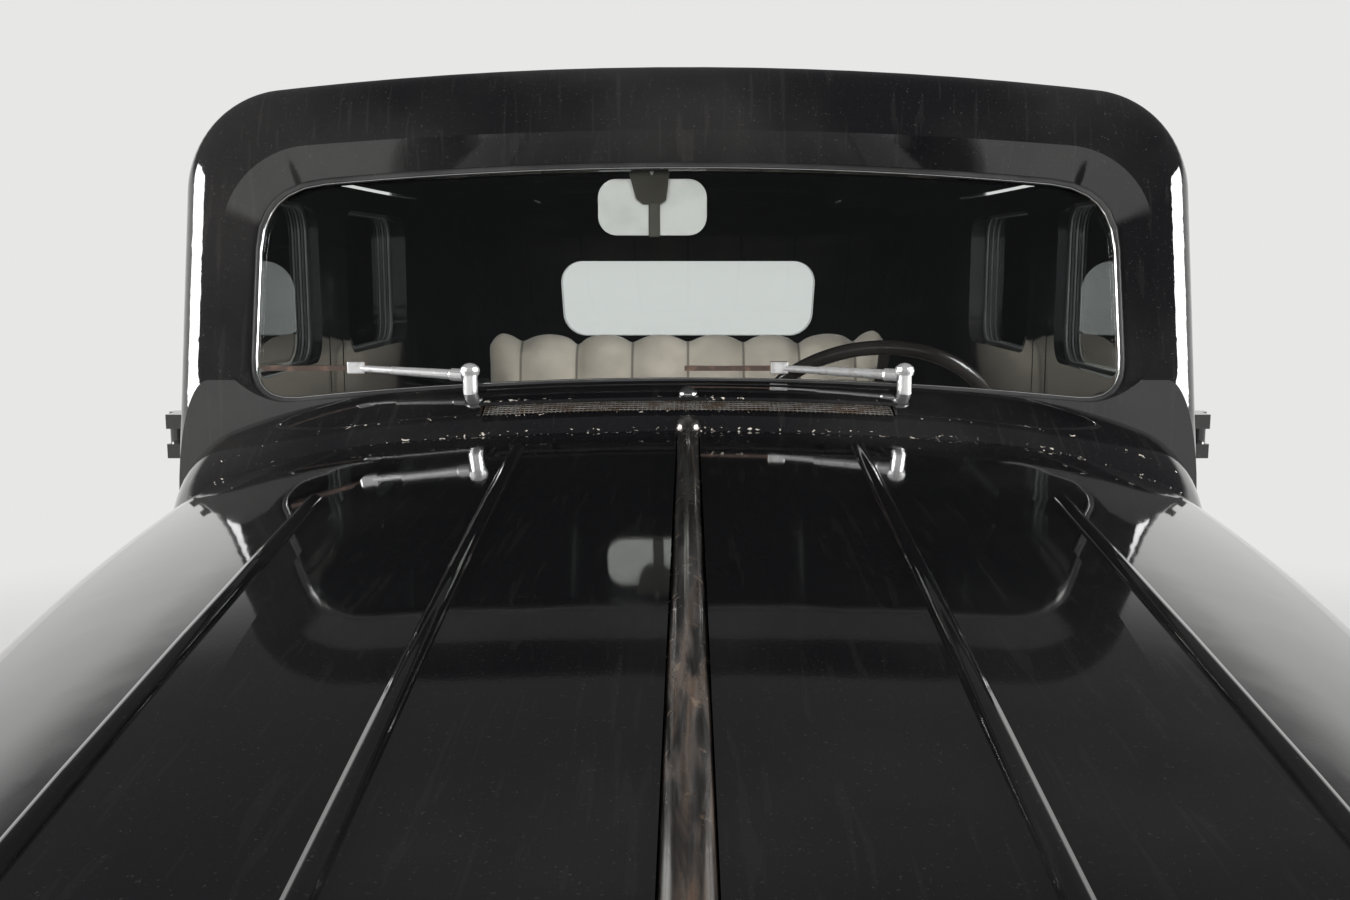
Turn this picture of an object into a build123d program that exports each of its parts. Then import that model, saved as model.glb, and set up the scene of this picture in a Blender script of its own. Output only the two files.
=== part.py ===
from build123d import *
import math
import os

# A four-door sedan of the late nineteen-thirties. Millimetres. The front faces -Y, the car's
# left side is +X, the ground is Z = 0 and the origin is on the ground in the middle of the car.

# Length, wheels and ground
WHEELBASE = 2850
FRONT_AXLE_Y = -1450
REAR_AXLE_Y = FRONT_AXLE_Y + WHEELBASE
FAR = 2 * WHEELBASE
TRACK = 1390
TYRE_RADIUS = 350
TYRE_WIDTH = 145
RIM_RADIUS = 212
HUB_CAP_RADIUS = 105

# Cabin
SILL_Z = 340
FLOOR_Z = 440
FLOOR_THICKNESS = 14
WALL = 60
ROOF_THICKNESS = 45
ROOF_TOP_Z = 1640
ROOF_CROWN_RADIUS = 5500
ROOF_EDGE_RADIUS = 150
ROOF_FRONT_Z = 1598
ROOF_FRONT_Y = -180
ROOF_TOP_Y = 450
ROOF_REAR_Y = 1150
ROOF_REAR_Z = 1583
BACK_ARC_RADIUS = 620
BACK_ARC_TURN = 50
BACK_SLOPE_LENGTH = 520
TAIL_ARC_RADIUS = 700
TAIL_ARC_TURN = 25
PILLAR_HALF_WIDTH = 717
MIDDLE_HALF_WIDTH = 752
SIDE_MIDDLE_Y = 450
SIDE_RADIUS = 8900
CROWN_TURN = 24
FORM_MARGIN = 200
FORM_TAIL_Y = 2230

# Windshield, measured up its slanted plane from the foot of the glass
WINDSHIELD_FOOT_Y = -200
WINDSHIELD_FOOT_Z = 1164
WINDSHIELD_SLANT = 15
WINDSHIELD_HALF_WIDTH = 622
WINDSHIELD_HEIGHT = 322
WINDSHIELD_CROWN = 34
WINDSHIELD_FOOT_RADIUS = 55
WINDSHIELD_TOP_RADIUS = 80
SURROUND_BAND = 46
SURROUND_DEPTH = 24
PILLAR_EDGE_RADIUS = 55

# Cowl and hood
COWL_FRONT_Y = -340
COWL_REAR_Y = -140
COWL_WALL = 50
FIREWALL_THICKNESS = 30
HOOD_THICKNESS = 8
HOOD_GAP = 5
HOOD_SPLIT_Z = 905
HOOD_CROWN_SHARE = 0.55
HOOD_SHOULDER_SHARE = 0.90
HOOD_CROWN_RADIUS_SHARE = 7.25
HOOD_SHOULDER_RADIUS_SHARE = 1.23
HOOD_ROD_RADIUS = 14
HOOD_ROD_RUNNING_GAP = 0.6
RIB_RADIUS = 9
RIB_SINK = 2
RIB_PIECES = 4

# Where the shell is divided, and the openings in it
ROOF_SPLIT_Z = 1492
ROOF_REAR_SPLIT_Y = 1230
COWL_TOP_Z = 1118
DOOR_BOTTOM_Z = 372
DOOR_GAP = 6
DOOR_CORNER_RADIUS = 60
DOOR_BEVEL = 6
BEVEL_START_X = 765
WALL_REACH_X = 600
REAR_PANEL_Y = 1120
ARCH_RADIUS = 425
ARCH_GAP = 30
WINDOW_BOTTOM_Z = 1142
WINDOW_TOP_Z = 1432
WINDOW_RADIUS = 48
GLASS_THICKNESS = 6
GLASS_MARGIN = 12
BACK_WINDOW_HALF_WIDTH = 348
BACK_WINDOW_Z = (1122, 1330)
BACK_WINDOW_RADIUS = 62
BACK_GLASS_DEPTH = 18
LID_HALF_WIDTH = 430
LID_Z = (590, 985)
LID_RADIUS = 60
LID_HINGE_X = 260
LID_HINGE_WIDTH = 66
LID_BARREL_RADIUS = 9
LID_PIN_RADIUS = 4
LID_LEAF = (34, 5, 4)
VENT_HALF_WIDTH = 279
VENT_Y = (-300, -222)
VENT_LID_THICKNESS = 4
VENT_OPEN_ANGLE = 12
VENT_GAP = 2

# Doors: name, front edge of the opening, back edge, window front, window back
DOORS = (
    ("front", -60, 485, 22, 425),
    ("rear", 555, 1138, 615, 1068),
)

SURROUND_FOOT_BAND = 8
SEAT_BACK_Y = 1500
WHEELHOUSE_X = 592
RAIL_TUNNEL_X = 640
TAIL_CUT_Y = 1880
VALANCE_Z = 470
REAR_STEP_Y = 960
PANEL_SPLIT_Y = -42

# Door hinges: pin on the outside of the body, ahead of the door's front edge
HINGE_Z = (560, 1070)
HINGE_HEIGHT = 66
HINGE_BARREL_RADIUS = 11
HINGE_PIN_RADIUS = 5
PIN_CLEARANCE = 0.08
HINGE_FACE_GAP = 0.5
HINGE_STAND_OFF = 44
HINGE_LEAF_THICKNESS = 9
HINGE_LEAF_LENGTH = 44

# Nose, grille and lamps. The nose is a round-fronted prism leaning back.
NOSE_FRONT_Y = -1815
NOSE_HALF_WIDTH = 350
NOSE_LEAN = 8
NOSE_PIVOT_Z = 420
NOSE_SHEET = 16
NOSE_ROUND = 105
NOSE_CHEEK_Y = -1655
NOSE_OVERLAP = 4
NOSE_END_STATION = (420, 1020)
ROD_SEAT = 18
HOOD_EDGE_X = 14.7
GRILLE_HALF_WIDTH = (95, 178)
GRILLE_Z = (470, 955)
GRILLE_TOP_RADIUS = 110
GRILLE_BAR_COUNT = 19
GRILLE_BAR_WIDTH = 6
GRILLE_BAR_SINK = (3, 13)
GRILLE_RIM = 9
CORE_HALF_WIDTH = 342
CORE_Y = (-1640, -1575)
HEADLAMP_PLACE = (582, -1640, 900)
HEADLAMP_RADIUS = 108
HEADLAMP_LENGTH = 300
LENS_THICKNESS = 14

# Fenders, running boards and wheel openings
FENDER_HALF_WIDTH = 840
FENDER_CROWN_X = 700
FENDER_VALLEY_X = 450
FENDER_RADIUS = 475
FENDER_VALLEY_DROP = 48
FENDER_SKIRT_DROP = 75
FENDER_SHEET = 12
FENDER_SHOULDER_X = 14
FENDER_SHOULDER_DROP = 12
FENDER_EDGE_DROP = 44
FENDER_FRONT_ANGLE = 172
FENDER_REAR_ANGLE = 38
REAR_FENDER_RADIUS = 475
REAR_FENDER_CROWN_X = 765
REAR_FENDER_TAIL_ANGLE = 62
REAR_FENDER_TAIL_RADIUS = 800
BOARD_TOP_Z = 345
BOARD_THICKNESS = 42
BOARD_INNER_X = 700
REAR_FENDER_TAIL_TURN = 22
HOOD_SIDE_SHEET = 10

# Chassis
RAIL_X = (330, 390)
RAIL_DEPTH = 92
RAIL_FRONT_Y = -2040
RAIL_REAR_Y = 1880
FRONT_STEP_Y = (-1000, -850)
RAIL_STEP_RUN = 125
CROSS_MEMBER_DEPTH = 45
CROSS_MEMBERS = ((-1980, -1900, 470), (-1300, -1240, 440), (-725, -650, 440), (1760, 1840, 520))
STRAPS_Y = ((300, 370), (540, 610))
STRAP_DEPTH = 26
FRONT_RAIL_TOP_Z = 500
REAR_FLOOR_Z = 560
KINGPIN_X = 640
KINGPIN_RADIUS = 11
KINGPIN_BOSS_RADIUS = 24
KINGPIN_BOSS_Z = (318, 382)
SPINDLE_RADIUS = 20

SPRING_WIDTH = 50
SPRING_THICKNESS = 24
SPRING_EYE = 26
FRONT_SPRING_HALF = 400
REAR_SPRING_HALF = 285
FRONT_BEAM_Z = (285, 345)
BEAM_WIDTH = 48
BEAM_END_X = 600
NECK_WIDTH = 36
BEAM_FLANGE = 14
BEAM_WEB = 14
AXLE_TUBE_RADIUS = 40
FINAL_DRIVE_RADIUS = 120
BACKING_X = 672
BACKING_RADIUS = 138
PLATE_THICKNESS = 6
SPINDLE_END_X = 738
KNUCKLE_Z = (288, 412)
KNUCKLE_WEB_X = (668, 678)
KNUCKLE_FACE_GAP = 3
RIM_INSET = 18
RIM_SHEET = 7
RIM_FLANGE = 12
TREAD_HALF = 52
TYRE_SHOULDER_DROP = 12

DISC_X = (14, 34, 40)
DISC_SHEET = 7
DISC_BEND_RADIUS = 140
CAP_TIP_X = 70
CAP_INSET = 5
DRUM_GAP = 3
DRUM_SHEET = 8
DRUM_TAPER = 10

# Engine, driveline, exhaust and tank
ENGINE_HALF_WIDTH = 165
ENGINE_Y = (-1290, -640)
ENGINE_Z = 440
ENGINE_TOP_Z = 860
SUMP_HALF_WIDTH = 110
SUMP_Y = (-1180, -745)
SUMP_Z = 350
GEARBOX_END_Y = -360
GEARBOX_Z = 385
GEARBOX_RADIUS = 80
SHAFT_RADIUS = 25
EXHAUST_ROUTE = ((225, -900), (225, 660), (225, 1080), (225, 2080))
EXHAUST_RADIUS = 22
EXHAUST_PORT = (150, -1000, 560)
SILENCER_RADIUS = 62
TANK_HALF_WIDTH = 300
TANK_Y = (1580, 1740)
TANK_Z = 400
TANK_RADIUS = 40

# Bumpers and small pieces outside
BUMPER_HALF_WIDTH = 800
BUMPER_BOW = 110
FRONT_BUMPER_REACH = 190
REAR_BUMPER_REACH = 350
BUMPER_SHEET = 14
BUMPER_Z = (395, 490)
BUMPER_END_RADIUS = 30
BRACKET_HALF_WIDTH = 22
BRACKET_DEPTH = 16
BRACKET_OVERLAP = 4
BRACKET_HOLD = 120
HEADLAMP_TIP_RADIUS = 34
STALK_HALF = (22, 48)
STALK_SET_BACK = 80
LENS_RIM = 9
LENS_SINK = 12

TAIL_LAMP_PLACE = (775, 1700)
TAIL_LAMP_RADIUS = 42
TAIL_LAMP_LENGTH = 110
TAIL_LAMP_RISE = 62

# Inside
DASH_Y = (-135, -75)
DASH_Z = (930, 1100)
FRONT_SEAT_HALF_WIDTH = 590
FRONT_SEAT_Y = (230, 760)
FRONT_CUSHION_Z = 770
FRONT_BACK_Z = 1075
REAR_SEAT_HALF_WIDTH = 560
REAR_SEAT_Y = (965, 1420)
REAR_CUSHION_Z = 790
REAR_BACK_Z = 1170
SEAT_BASE_Z = 590
SEAT_BASE_INSET = 40
BENCH_BACK = 130
BENCH_RAKE = 0.2
BENCH_ROUND = 35
MIRROR_PLACE = (-54, -20, 1411)
MIRROR_SIZE = (165, 84, 12)
MIRROR_STEM_RADIUS = 7
MIRROR_SEAT_RISE = 345
WIPER_PIVOTS = (-302, 300)
WIPER_POST_Y = -232
WIPER_POST_Z = 1158
WIPER_POST_RADIUS = 10
WIPER_POST_HEIGHT = 40
WIPER_RISE = 22
WIPER_ARM_RADIUS = 5
WIPER_ARM_LENGTH = 170
WIPER_BLADE_SHIFT = 45
WIPER_BLADE_LENGTH = 180
WIPER_BLADE_DEPTH = 8
WIPER_BLADE_HEIGHT = 7
VENT_HINGE_Z = 1154
VENT_MESH_DEPTH = 22

# Steering wheel
STEERING_X = 322
STEERING_CENTRE = (235, 1029)
STEERING_TILT = 40
STEERING_RIM_RADIUS = 210
STEERING_RIM_THICKNESS = 12
STEERING_HUB_LENGTH = 60
STEERING_HUB_RADIUS = 34
SPOKE_ANGLES = (0, 90, 180, 270)
SPOKE_WIDTH = 18
SPOKE_THICKNESS = 7
COLUMN_RADIUS = 24
SPIGOT_RADIUS = 11

# Stations of the hood and cowl: Y place, half width, height of the crown line
COWL_FRONT_CROWN = 1110
SEAM_STATION = (COWL_FRONT_Y, 690, COWL_FRONT_CROWN)
HOOD_STATIONS = (SEAM_STATION, (-950, 617, 1082), (-1560, 458, 1045))
COWL_STATIONS = (SEAM_STATION, (-205, PILLAR_HALF_WIDTH, 1163), (COWL_REAR_Y, PILLAR_HALF_WIDTH, 1163))
NOSE_REAR_Y = -1560

# Raised ribs on the left half of the hood: rear end and front end as (X, Y)
HOOD_RIBS = (
    ((210, -440), (172, -1535)),
    ((395, -670), (330, -1535)),
)


everywhere = (-FAR, FAR)


def block(x_range, y_range, z_range):
    """Box between two values on each axis."""
    size = [high - low for low, high in (x_range, y_range, z_range)]
    middle = [(high + low) / 2 for low, high in (x_range, y_range, z_range)]
    return Pos(*middle) * Box(*size)


def across(outline, x_from, x_to):
    """Outline drawn as (Y, Z), made solid from one X to another."""
    return extrude(Plane.YZ.offset(x_from) * outline, amount=x_to - x_from, dir=(1, 0, 0))


def lengthwise(outline, y_from, y_to):
    """Outline drawn as (X, Z), made solid from one Y to another."""
    return extrude(Plane.XZ.offset(-y_to) * outline, amount=y_to - y_from, dir=(0, -1, 0))


def upward(outline, z_from, z_to):
    """Outline drawn as (X, Y), made solid from one Z to another."""
    return extrude(Plane.XY.offset(z_from) * outline, amount=z_to - z_from, dir=(0, 0, 1))


def pair(solid):
    """The solid and its mirror image on the other side of the car."""
    return solid + mirror(solid, about=Plane.YZ)


def right_hand(solid):
    """The same piece for the other side of the car."""
    return mirror(solid, about=Plane.YZ)


def rod(start, end, radius):
    """Round bar between two points."""
    line = Line(start, end)
    return extrude(Plane(origin=line @ 0, z_dir=line % 0) * Circle(radius), amount=line.length)


def spun(lines, axis):
    """Closed outline turned once round an axis."""
    return revolve(make_face(lines), axis)


def dome_points(radius, foot, tip):
    """Three points (along the axis, radius) of a round dome that meets its axis at the tip."""
    rise = tip - foot
    ball = (radius**2 + rise**2) / (2 * rise)
    half_turn = math.asin(radius / abs(ball)) / 2
    middle = (tip - ball + ball * math.cos(half_turn), abs(ball) * math.sin(half_turn))
    return (foot, radius), middle, (tip, 0)


def rounded_rectangle(corner, size, radius):
    """Rectangle with its lower corner at a place and all corners rounded."""
    middle = (corner[0] + size[0] / 2, corner[1] + size[1] / 2)
    return Pos(*middle) * RectangleRounded(size[0], size[1], radius)


def hood_half_section(station, inset, base):
    """Left half of the section at a station: crown arc, shoulder arcs, upright side."""
    place, width, crown = station
    width, crown = width - inset, crown - inset
    crown_radius = HOOD_CROWN_RADIUS_SHARE * width
    shoulder_radius = HOOD_SHOULDER_RADIUS_SHARE * width
    crown_sine = HOOD_CROWN_SHARE * width / crown_radius
    shoulder_sine = crown_sine + (HOOD_SHOULDER_SHARE - HOOD_CROWN_SHARE) * width / shoulder_radius
    corner_radius = (1 - HOOD_SHOULDER_SHARE) * width / (1 - shoulder_sine)
    crown_turn = math.degrees(math.asin(crown_sine))
    shoulder_turn = math.degrees(math.asin(shoulder_sine))
    first = JernArc((0, crown), (1, 0), crown_radius, -crown_turn)
    second = JernArc(first @ 1, first % 1, shoulder_radius, crown_turn - shoulder_turn)
    third = JernArc(second @ 1, second % 1, corner_radius, shoulder_turn - 90)
    frame = Polyline(third @ 1, (width, base), (0, base), (0, crown))
    return Plane.XZ.offset(-place) * make_face([first, second, third, frame])


def hood_form(stations, inset, base):
    """Left half of the hood or cowl as a solid form down to a base height."""
    return loft([hood_half_section(station, inset, base) for station in stations])


def station_at(y, stations):
    """Half width and crown height between the stations, on a smooth curve through them."""
    width, crown = 0, 0
    for this_y, this_width, this_crown in stations:
        share = 1
        for other_y, _, _ in stations:
            if other_y != this_y:
                share *= (y - other_y) / (this_y - other_y)
        width += share * this_width
        crown += share * this_crown
    return width, crown


def roof_profile(inset):
    """Arcs of the roof and back in side view as (Y, Z)."""
    roof = ThreePointArc(
        (ROOF_FRONT_Y, ROOF_FRONT_Z - inset),
        (ROOF_TOP_Y, ROOF_TOP_Z - inset),
        (ROOF_REAR_Y, ROOF_REAR_Z - inset),
    )
    back = JernArc(roof @ 1, roof % 1, BACK_ARC_RADIUS - inset, -BACK_ARC_TURN)
    slope = Line(back @ 1, back @ 1 + (back % 1) * BACK_SLOPE_LENGTH)
    tail = JernArc(slope @ 1, slope % 1, TAIL_ARC_RADIUS - inset, -TAIL_ARC_TURN)
    return roof, back, slope, tail


def windshield_plane(depth):
    """Plane of the windshield, X across and Y up the slant, set back by a depth."""
    slant = math.radians(WINDSHIELD_SLANT)
    outward = Vector(0, -math.cos(slant), math.sin(slant))
    foot = Vector(0, WINDSHIELD_FOOT_Y, WINDSHIELD_FOOT_Z)
    return Plane(origin=foot - outward * depth, x_dir=(1, 0, 0), z_dir=outward)


def side_half_width(y):
    """Half width of the body at a place along the car."""
    return MIDDLE_HALF_WIDTH - SIDE_RADIUS + math.sqrt(SIDE_RADIUS**2 - (y - SIDE_MIDDLE_Y) ** 2)


def cabin_form(wall, roof_inset, glass_depth, base, edge_radius, pillar_radius):
    """Cabin as a solid form: roof and back turned round a low axis, between the curved sides."""
    roof, back, slope, tail = roof_profile(roof_inset)
    front_y = COWL_FRONT_Y - FORM_MARGIN
    low = base - FORM_MARGIN
    end = tail @ 1 + (tail % 1) * (((tail @ 1).Y - low) / -(tail % 1).Y)
    frame = Polyline(tail @ 1, end, (front_y, low), (front_y, (roof @ 0).Y - FORM_MARGIN), roof @ 0)
    axis = Axis((0, 0, ROOF_TOP_Z - ROOF_CROWN_RADIUS), (0, 1, 0))
    profile = Plane.YZ * make_face([roof, back, slope, tail, frame])
    form = revolve(profile, axis, CROWN_TURN).rotate(axis, -CROWN_TURN / 2)
    ends = (front_y - FORM_MARGIN, SIDE_MIDDLE_Y, FORM_TAIL_Y)
    side = ThreePointArc(*[(side_half_width(y) - wall, y) for y in ends])
    other_side = mirror(side, about=Plane.YZ)
    plan = make_face([side, other_side, Line(side @ 0, other_side @ 0), Line(side @ 1, other_side @ 1)])
    ahead = windshield_plane(glass_depth) * (Pos(0, 0, FAR / 2) * Box(FAR, FAR * 2, FAR))
    form = form & upward(plan, base, ROOF_TOP_Z + FORM_MARGIN) - ahead
    glass_plane = windshield_plane(glass_depth)
    upper = [edge for edge in form.edges() if (edge @ 0.5).Z > base + 1 and (edge @ 0.5).Y < FORM_TAIL_Y - 1]
    on_glass = [edge for edge in upper if abs(glass_plane.to_local_coords(edge @ 0.5).Z) < 0.01]
    roof_edges = [
        edge for edge in upper if edge not in on_glass and abs((edge @ 0.5).X) > WINDSHIELD_HALF_WIDTH / 2
    ]
    form = fillet(roof_edges, edge_radius)
    upper = [edge for edge in form.edges() if (edge @ 0.5).Z > base + 1]
    return fillet([e for e in upper if abs(glass_plane.to_local_coords(e @ 0.5).Z) < 0.01
                   and abs(glass_plane.to_local_coords(e @ 0.1).Z) < 0.01], pillar_radius)


def body_form(wall, roof_inset, cowl_inset, firewall, base, edge_radius, pillar_radius):
    """Cabin and cowl together, either their outer form or the space inside them."""
    cabin = cabin_form(wall, roof_inset, cowl_inset, base, edge_radius, pillar_radius)
    cabin &= block(everywhere, (WINDSHIELD_FOOT_Y + cowl_inset, FAR), (0, FAR))
    cowl = pair(hood_form(COWL_STATIONS, cowl_inset, base))
    cowl &= block(everywhere, (COWL_FRONT_Y + firewall, FAR), (0, FAR))
    return cabin + cowl


# The body shell and the panels it is divided into
outer_form = body_form(0, 0, 0, 0, SILL_Z, ROOF_EDGE_RADIUS, PILLAR_EDGE_RADIUS)
inner_form = body_form(
    WALL, ROOF_THICKNESS, COWL_WALL, FIREWALL_THICKNESS, SILL_Z - FORM_MARGIN,
    ROOF_EDGE_RADIUS - ROOF_THICKNESS, PILLAR_EDGE_RADIUS / 2,
)
shell = outer_form - inner_form


def door_outline(front, back, gap):
    """Door or its opening as (Y, Z), cut back round the rear fender."""
    size = (back - front - 2 * gap, ROOF_SPLIT_Z - DOOR_BOTTOM_Z - 2 * gap)
    outline = rounded_rectangle((front + gap, DOOR_BOTTOM_Z + gap), size, DOOR_CORNER_RADIUS)
    return outline - Pos(REAR_AXLE_Y, TYRE_RADIUS) * Circle(REAR_FENDER_RADIUS + ARCH_GAP + gap)


def door_prism(front, back, gap):
    """Bevelled solid that cuts a door, or its opening, out of the left wall."""
    outline = Plane.YZ.offset(BEVEL_START_X) * door_outline(front, back, gap)
    reach = BEVEL_START_X - WALL_REACH_X
    return extrude(outline, amount=-reach, taper=DOOR_BEVEL)


def window_prism(front, back, grow, x_from, x_to):
    """Side window shape between two X values."""
    corner = (front - grow, WINDOW_BOTTOM_Z - grow)
    size = (back - front + 2 * grow, WINDOW_TOP_Z - WINDOW_BOTTOM_Z + 2 * grow)
    return across(rounded_rectangle(corner, size, WINDOW_RADIUS), x_from, x_to)


def windshield_outline(grow, grow_foot):
    """Windshield shape on its slanted plane: bowed top and foot, rounded corners."""
    half, foot, top = WINDSHIELD_HALF_WIDTH + grow, -grow_foot, WINDSHIELD_HEIGHT + grow
    top_arc = ThreePointArc((-half, top - WINDSHIELD_CROWN), (0, top), (half, top - WINDSHIELD_CROWN))
    foot_arc = ThreePointArc((-half, foot - WINDSHIELD_CROWN), (0, foot), (half, foot - WINDSHIELD_CROWN))
    sides = [Line(top_arc @ end, foot_arc @ end) for end in (0, 1)]
    outline = Sketch() + make_face([top_arc, foot_arc, *sides])
    corners = outline.vertices().sort_by(Axis.Y)
    outline = fillet(corners[:2], WINDSHIELD_FOOT_RADIUS + grow)
    corners = [v for v in outline.vertices() if v.Y > top - WINDSHIELD_CROWN - 1 and abs(v.X) > half - 1]
    return fillet(corners, WINDSHIELD_TOP_RADIUS + grow)


# Doors and side windows
door_openings = Part()
for name, front, back, window_front, window_back in DOORS:
    door_openings += pair(door_prism(front, back, 0))
framed_shell = shell - door_openings

doors = {}
door_glass = {}
for name, front, back, window_front, window_back in DOORS:
    door = shell & door_prism(front, back, DOOR_GAP)
    door -= window_prism(window_front, window_back, 0, WALL_REACH_X, BEVEL_START_X + WALL)
    glass_x = side_half_width((window_front + window_back) / 2) - (WALL + GLASS_THICKNESS) / 2
    glass = window_prism(window_front, window_back, GLASS_MARGIN, glass_x, glass_x + GLASS_THICKNESS)
    doors[name] = door - glass
    door_glass[name] = glass


def hinge_parts(pin_y):
    """Barrel hinges of one left door: the fixed halves with their pins, and the door halves."""
    pin_x = side_half_width(pin_y) + HINGE_STAND_OFF
    leaf_x = (pin_x - HINGE_STAND_OFF - HINGE_LEAF_THICKNESS, pin_x)
    fixed, moving, pockets = Part(), Part(), Part()
    for height in HINGE_Z:
        whole = (height - HINGE_HEIGHT / 2, height + HINGE_HEIGHT / 2)
        middle = (height - HINGE_HEIGHT / 6, height + HINGE_HEIGHT / 6)
        clear = (middle[0] - HINGE_FACE_GAP, middle[1] + HINGE_FACE_GAP)
        around = (pin_y - HINGE_LEAF_LENGTH, pin_y + HINGE_LEAF_LENGTH)
        barrel = Pos(pin_x, pin_y, height) * Cylinder(HINGE_BARREL_RADIUS, HINGE_HEIGHT)
        pin = Pos(pin_x, pin_y, height) * Cylinder(HINGE_PIN_RADIUS, HINGE_HEIGHT)
        bore = Pos(pin_x, pin_y, height) * Cylinder(HINGE_PIN_RADIUS + PIN_CLEARANCE, HINGE_HEIGHT)
        wide_x = (0, FAR)
        fixed += barrel + block(leaf_x, (around[0], pin_y), whole) - block(wide_x, around, clear) + pin
        moving += (barrel & block(wide_x, around, middle)) + block(leaf_x, (pin_y, around[1]), middle) - bore
        pocket_z = (middle[0] - DOOR_GAP, middle[1] + DOOR_GAP)
        pockets += block((leaf_x[0] - DOOR_GAP, pin_x), (pin_y - DOOR_GAP / 2, around[1]), pocket_z)
    return fixed, moving, pockets


hinges = {name: hinge_parts(front + DOOR_GAP / 2) for name, front, *_ in DOORS}

# Vent lid in the cowl, its opening and the mesh under it
vent_cut = block(
    (-VENT_HALF_WIDTH - VENT_GAP, VENT_HALF_WIDTH + VENT_GAP),
    (VENT_Y[0] - VENT_GAP, VENT_Y[1] + VENT_GAP),
    (COWL_FRONT_CROWN - COWL_WALL * 2, ROOF_TOP_Z),
)

# Panels of the shell
behind_glass = windshield_plane(COWL_WALL) * (Pos(0, 0, -FAR / 2) * Box(FAR, FAR * 2, FAR))
roof_region = block(everywhere, (-FAR, ROOF_REAR_SPLIT_Y), (ROOF_SPLIT_Z, FAR)) & behind_glass
cowl_region = block(everywhere, (-FAR, PANEL_SPLIT_Y), (0, COWL_TOP_Z)) + block(
    everywhere, (-FAR, COWL_STATIONS[1][0]), (0, FAR)
)
front_region = block(everywhere, (-FAR, PANEL_SPLIT_Y), (0, ROOF_SPLIT_Z)) + (
    block(everywhere, (-FAR, 0), (ROOF_SPLIT_Z, FAR)) - behind_glass
)
rear_region = block(everywhere, (REAR_PANEL_Y, FAR), (0, FAR)) - roof_region
roof_panel = framed_shell & roof_region
cowl = framed_shell & cowl_region
windshield_frame = (framed_shell & front_region) - cowl_region
rear_body = framed_shell & rear_region
side_frames = framed_shell & block(everywhere, (PANEL_SPLIT_Y, REAR_PANEL_Y), (0, ROOF_SPLIT_Z))

# Window openings and fixed glass
glass_seat = loft([
    windshield_plane(-1) * windshield_outline(SURROUND_BAND, SURROUND_FOOT_BAND),
    windshield_plane(SURROUND_DEPTH) * windshield_outline(0, 0),
])
glass_hole = extrude(windshield_plane(SURROUND_DEPTH) * windshield_outline(0, 0), amount=-COWL_WALL * 2)
windshield_glass = extrude(
    windshield_plane(SURROUND_DEPTH) * windshield_outline(GLASS_MARGIN, GLASS_MARGIN), amount=-GLASS_THICKNESS
)
windshield_frame -= glass_seat + glass_hole
windshield_frame -= windshield_glass
cowl -= glass_seat

back_outline_size = (2 * BACK_WINDOW_HALF_WIDTH, BACK_WINDOW_Z[1] - BACK_WINDOW_Z[0])
back_outline = rounded_rectangle(
    (-BACK_WINDOW_HALF_WIDTH, BACK_WINDOW_Z[0]), back_outline_size, BACK_WINDOW_RADIUS
)
back_hole = lengthwise(back_outline, REAR_PANEL_Y + WALL, FAR)
outer_lines = roof_profile(BACK_GLASS_DEPTH)[1:3]
inner_lines = roof_profile(BACK_GLASS_DEPTH + GLASS_THICKNESS)[1:3]
back_sheet = make_face([
    *outer_lines, *inner_lines,
    Line(outer_lines[0] @ 0, inner_lines[0] @ 0), Line(outer_lines[1] @ 1, inner_lines[1] @ 1),
])
glass_span = (-BACK_WINDOW_HALF_WIDTH - GLASS_MARGIN, BACK_WINDOW_HALF_WIDTH + GLASS_MARGIN)
glass_rise = (BACK_WINDOW_Z[0] - GLASS_MARGIN, BACK_WINDOW_Z[1] + GLASS_MARGIN)
rear_glass = across(back_sheet, *glass_span) & block(glass_span, (0, FAR), glass_rise)
rear_body -= back_hole + rear_glass

# Luggage lid in the slanted back
def lid_prism(gap):
    """Lid or its opening, cut straight along the car."""
    size = (2 * (LID_HALF_WIDTH - gap), LID_Z[1] - LID_Z[0] - 2 * gap)
    outline = rounded_rectangle((-LID_HALF_WIDTH + gap, LID_Z[0] + gap), size, LID_RADIUS)
    return lengthwise(outline, SEAT_BACK_Y, FAR)


luggage_lid = rear_body & lid_prism(DOOR_GAP)
rear_body -= lid_prism(0)
lid_edge = luggage_lid & block(
    (LID_HINGE_X - LID_HINGE_WIDTH / 2, LID_HINGE_X + LID_HINGE_WIDTH / 2), everywhere, (
        LID_Z[1] - 2 * DOOR_GAP, LID_Z[1]
    )
)
lid_strip = luggage_lid & block(
    (LID_HINGE_X - 1, LID_HINGE_X + 1), everywhere, (
        LID_Z[1] - LID_LEAF[0] - DOOR_GAP, LID_Z[1] - LID_LEAF[0]
    )
)
lid_edge_y, lid_edge_z = lid_edge.bounding_box().max.Y, LID_Z[1] - 2 * DOOR_GAP
lid_strip_y, lid_strip_z = lid_strip.bounding_box().max.Y, LID_Z[1] - LID_LEAF[0] - DOOR_GAP
lid_slope = math.atan2(lid_strip_y - lid_edge_y, lid_edge_z - lid_strip_z)
lid_seat = Plane(
    origin=(
        LID_HINGE_X, lid_edge_y - (LID_Z[1] - DOOR_GAP / 2 - lid_edge_z) * math.tan(lid_slope),
        LID_Z[1] - DOOR_GAP / 2
    ),
    x_dir=(1, 0, 0), z_dir=(0, math.cos(lid_slope), math.sin(lid_slope)),
)


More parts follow.
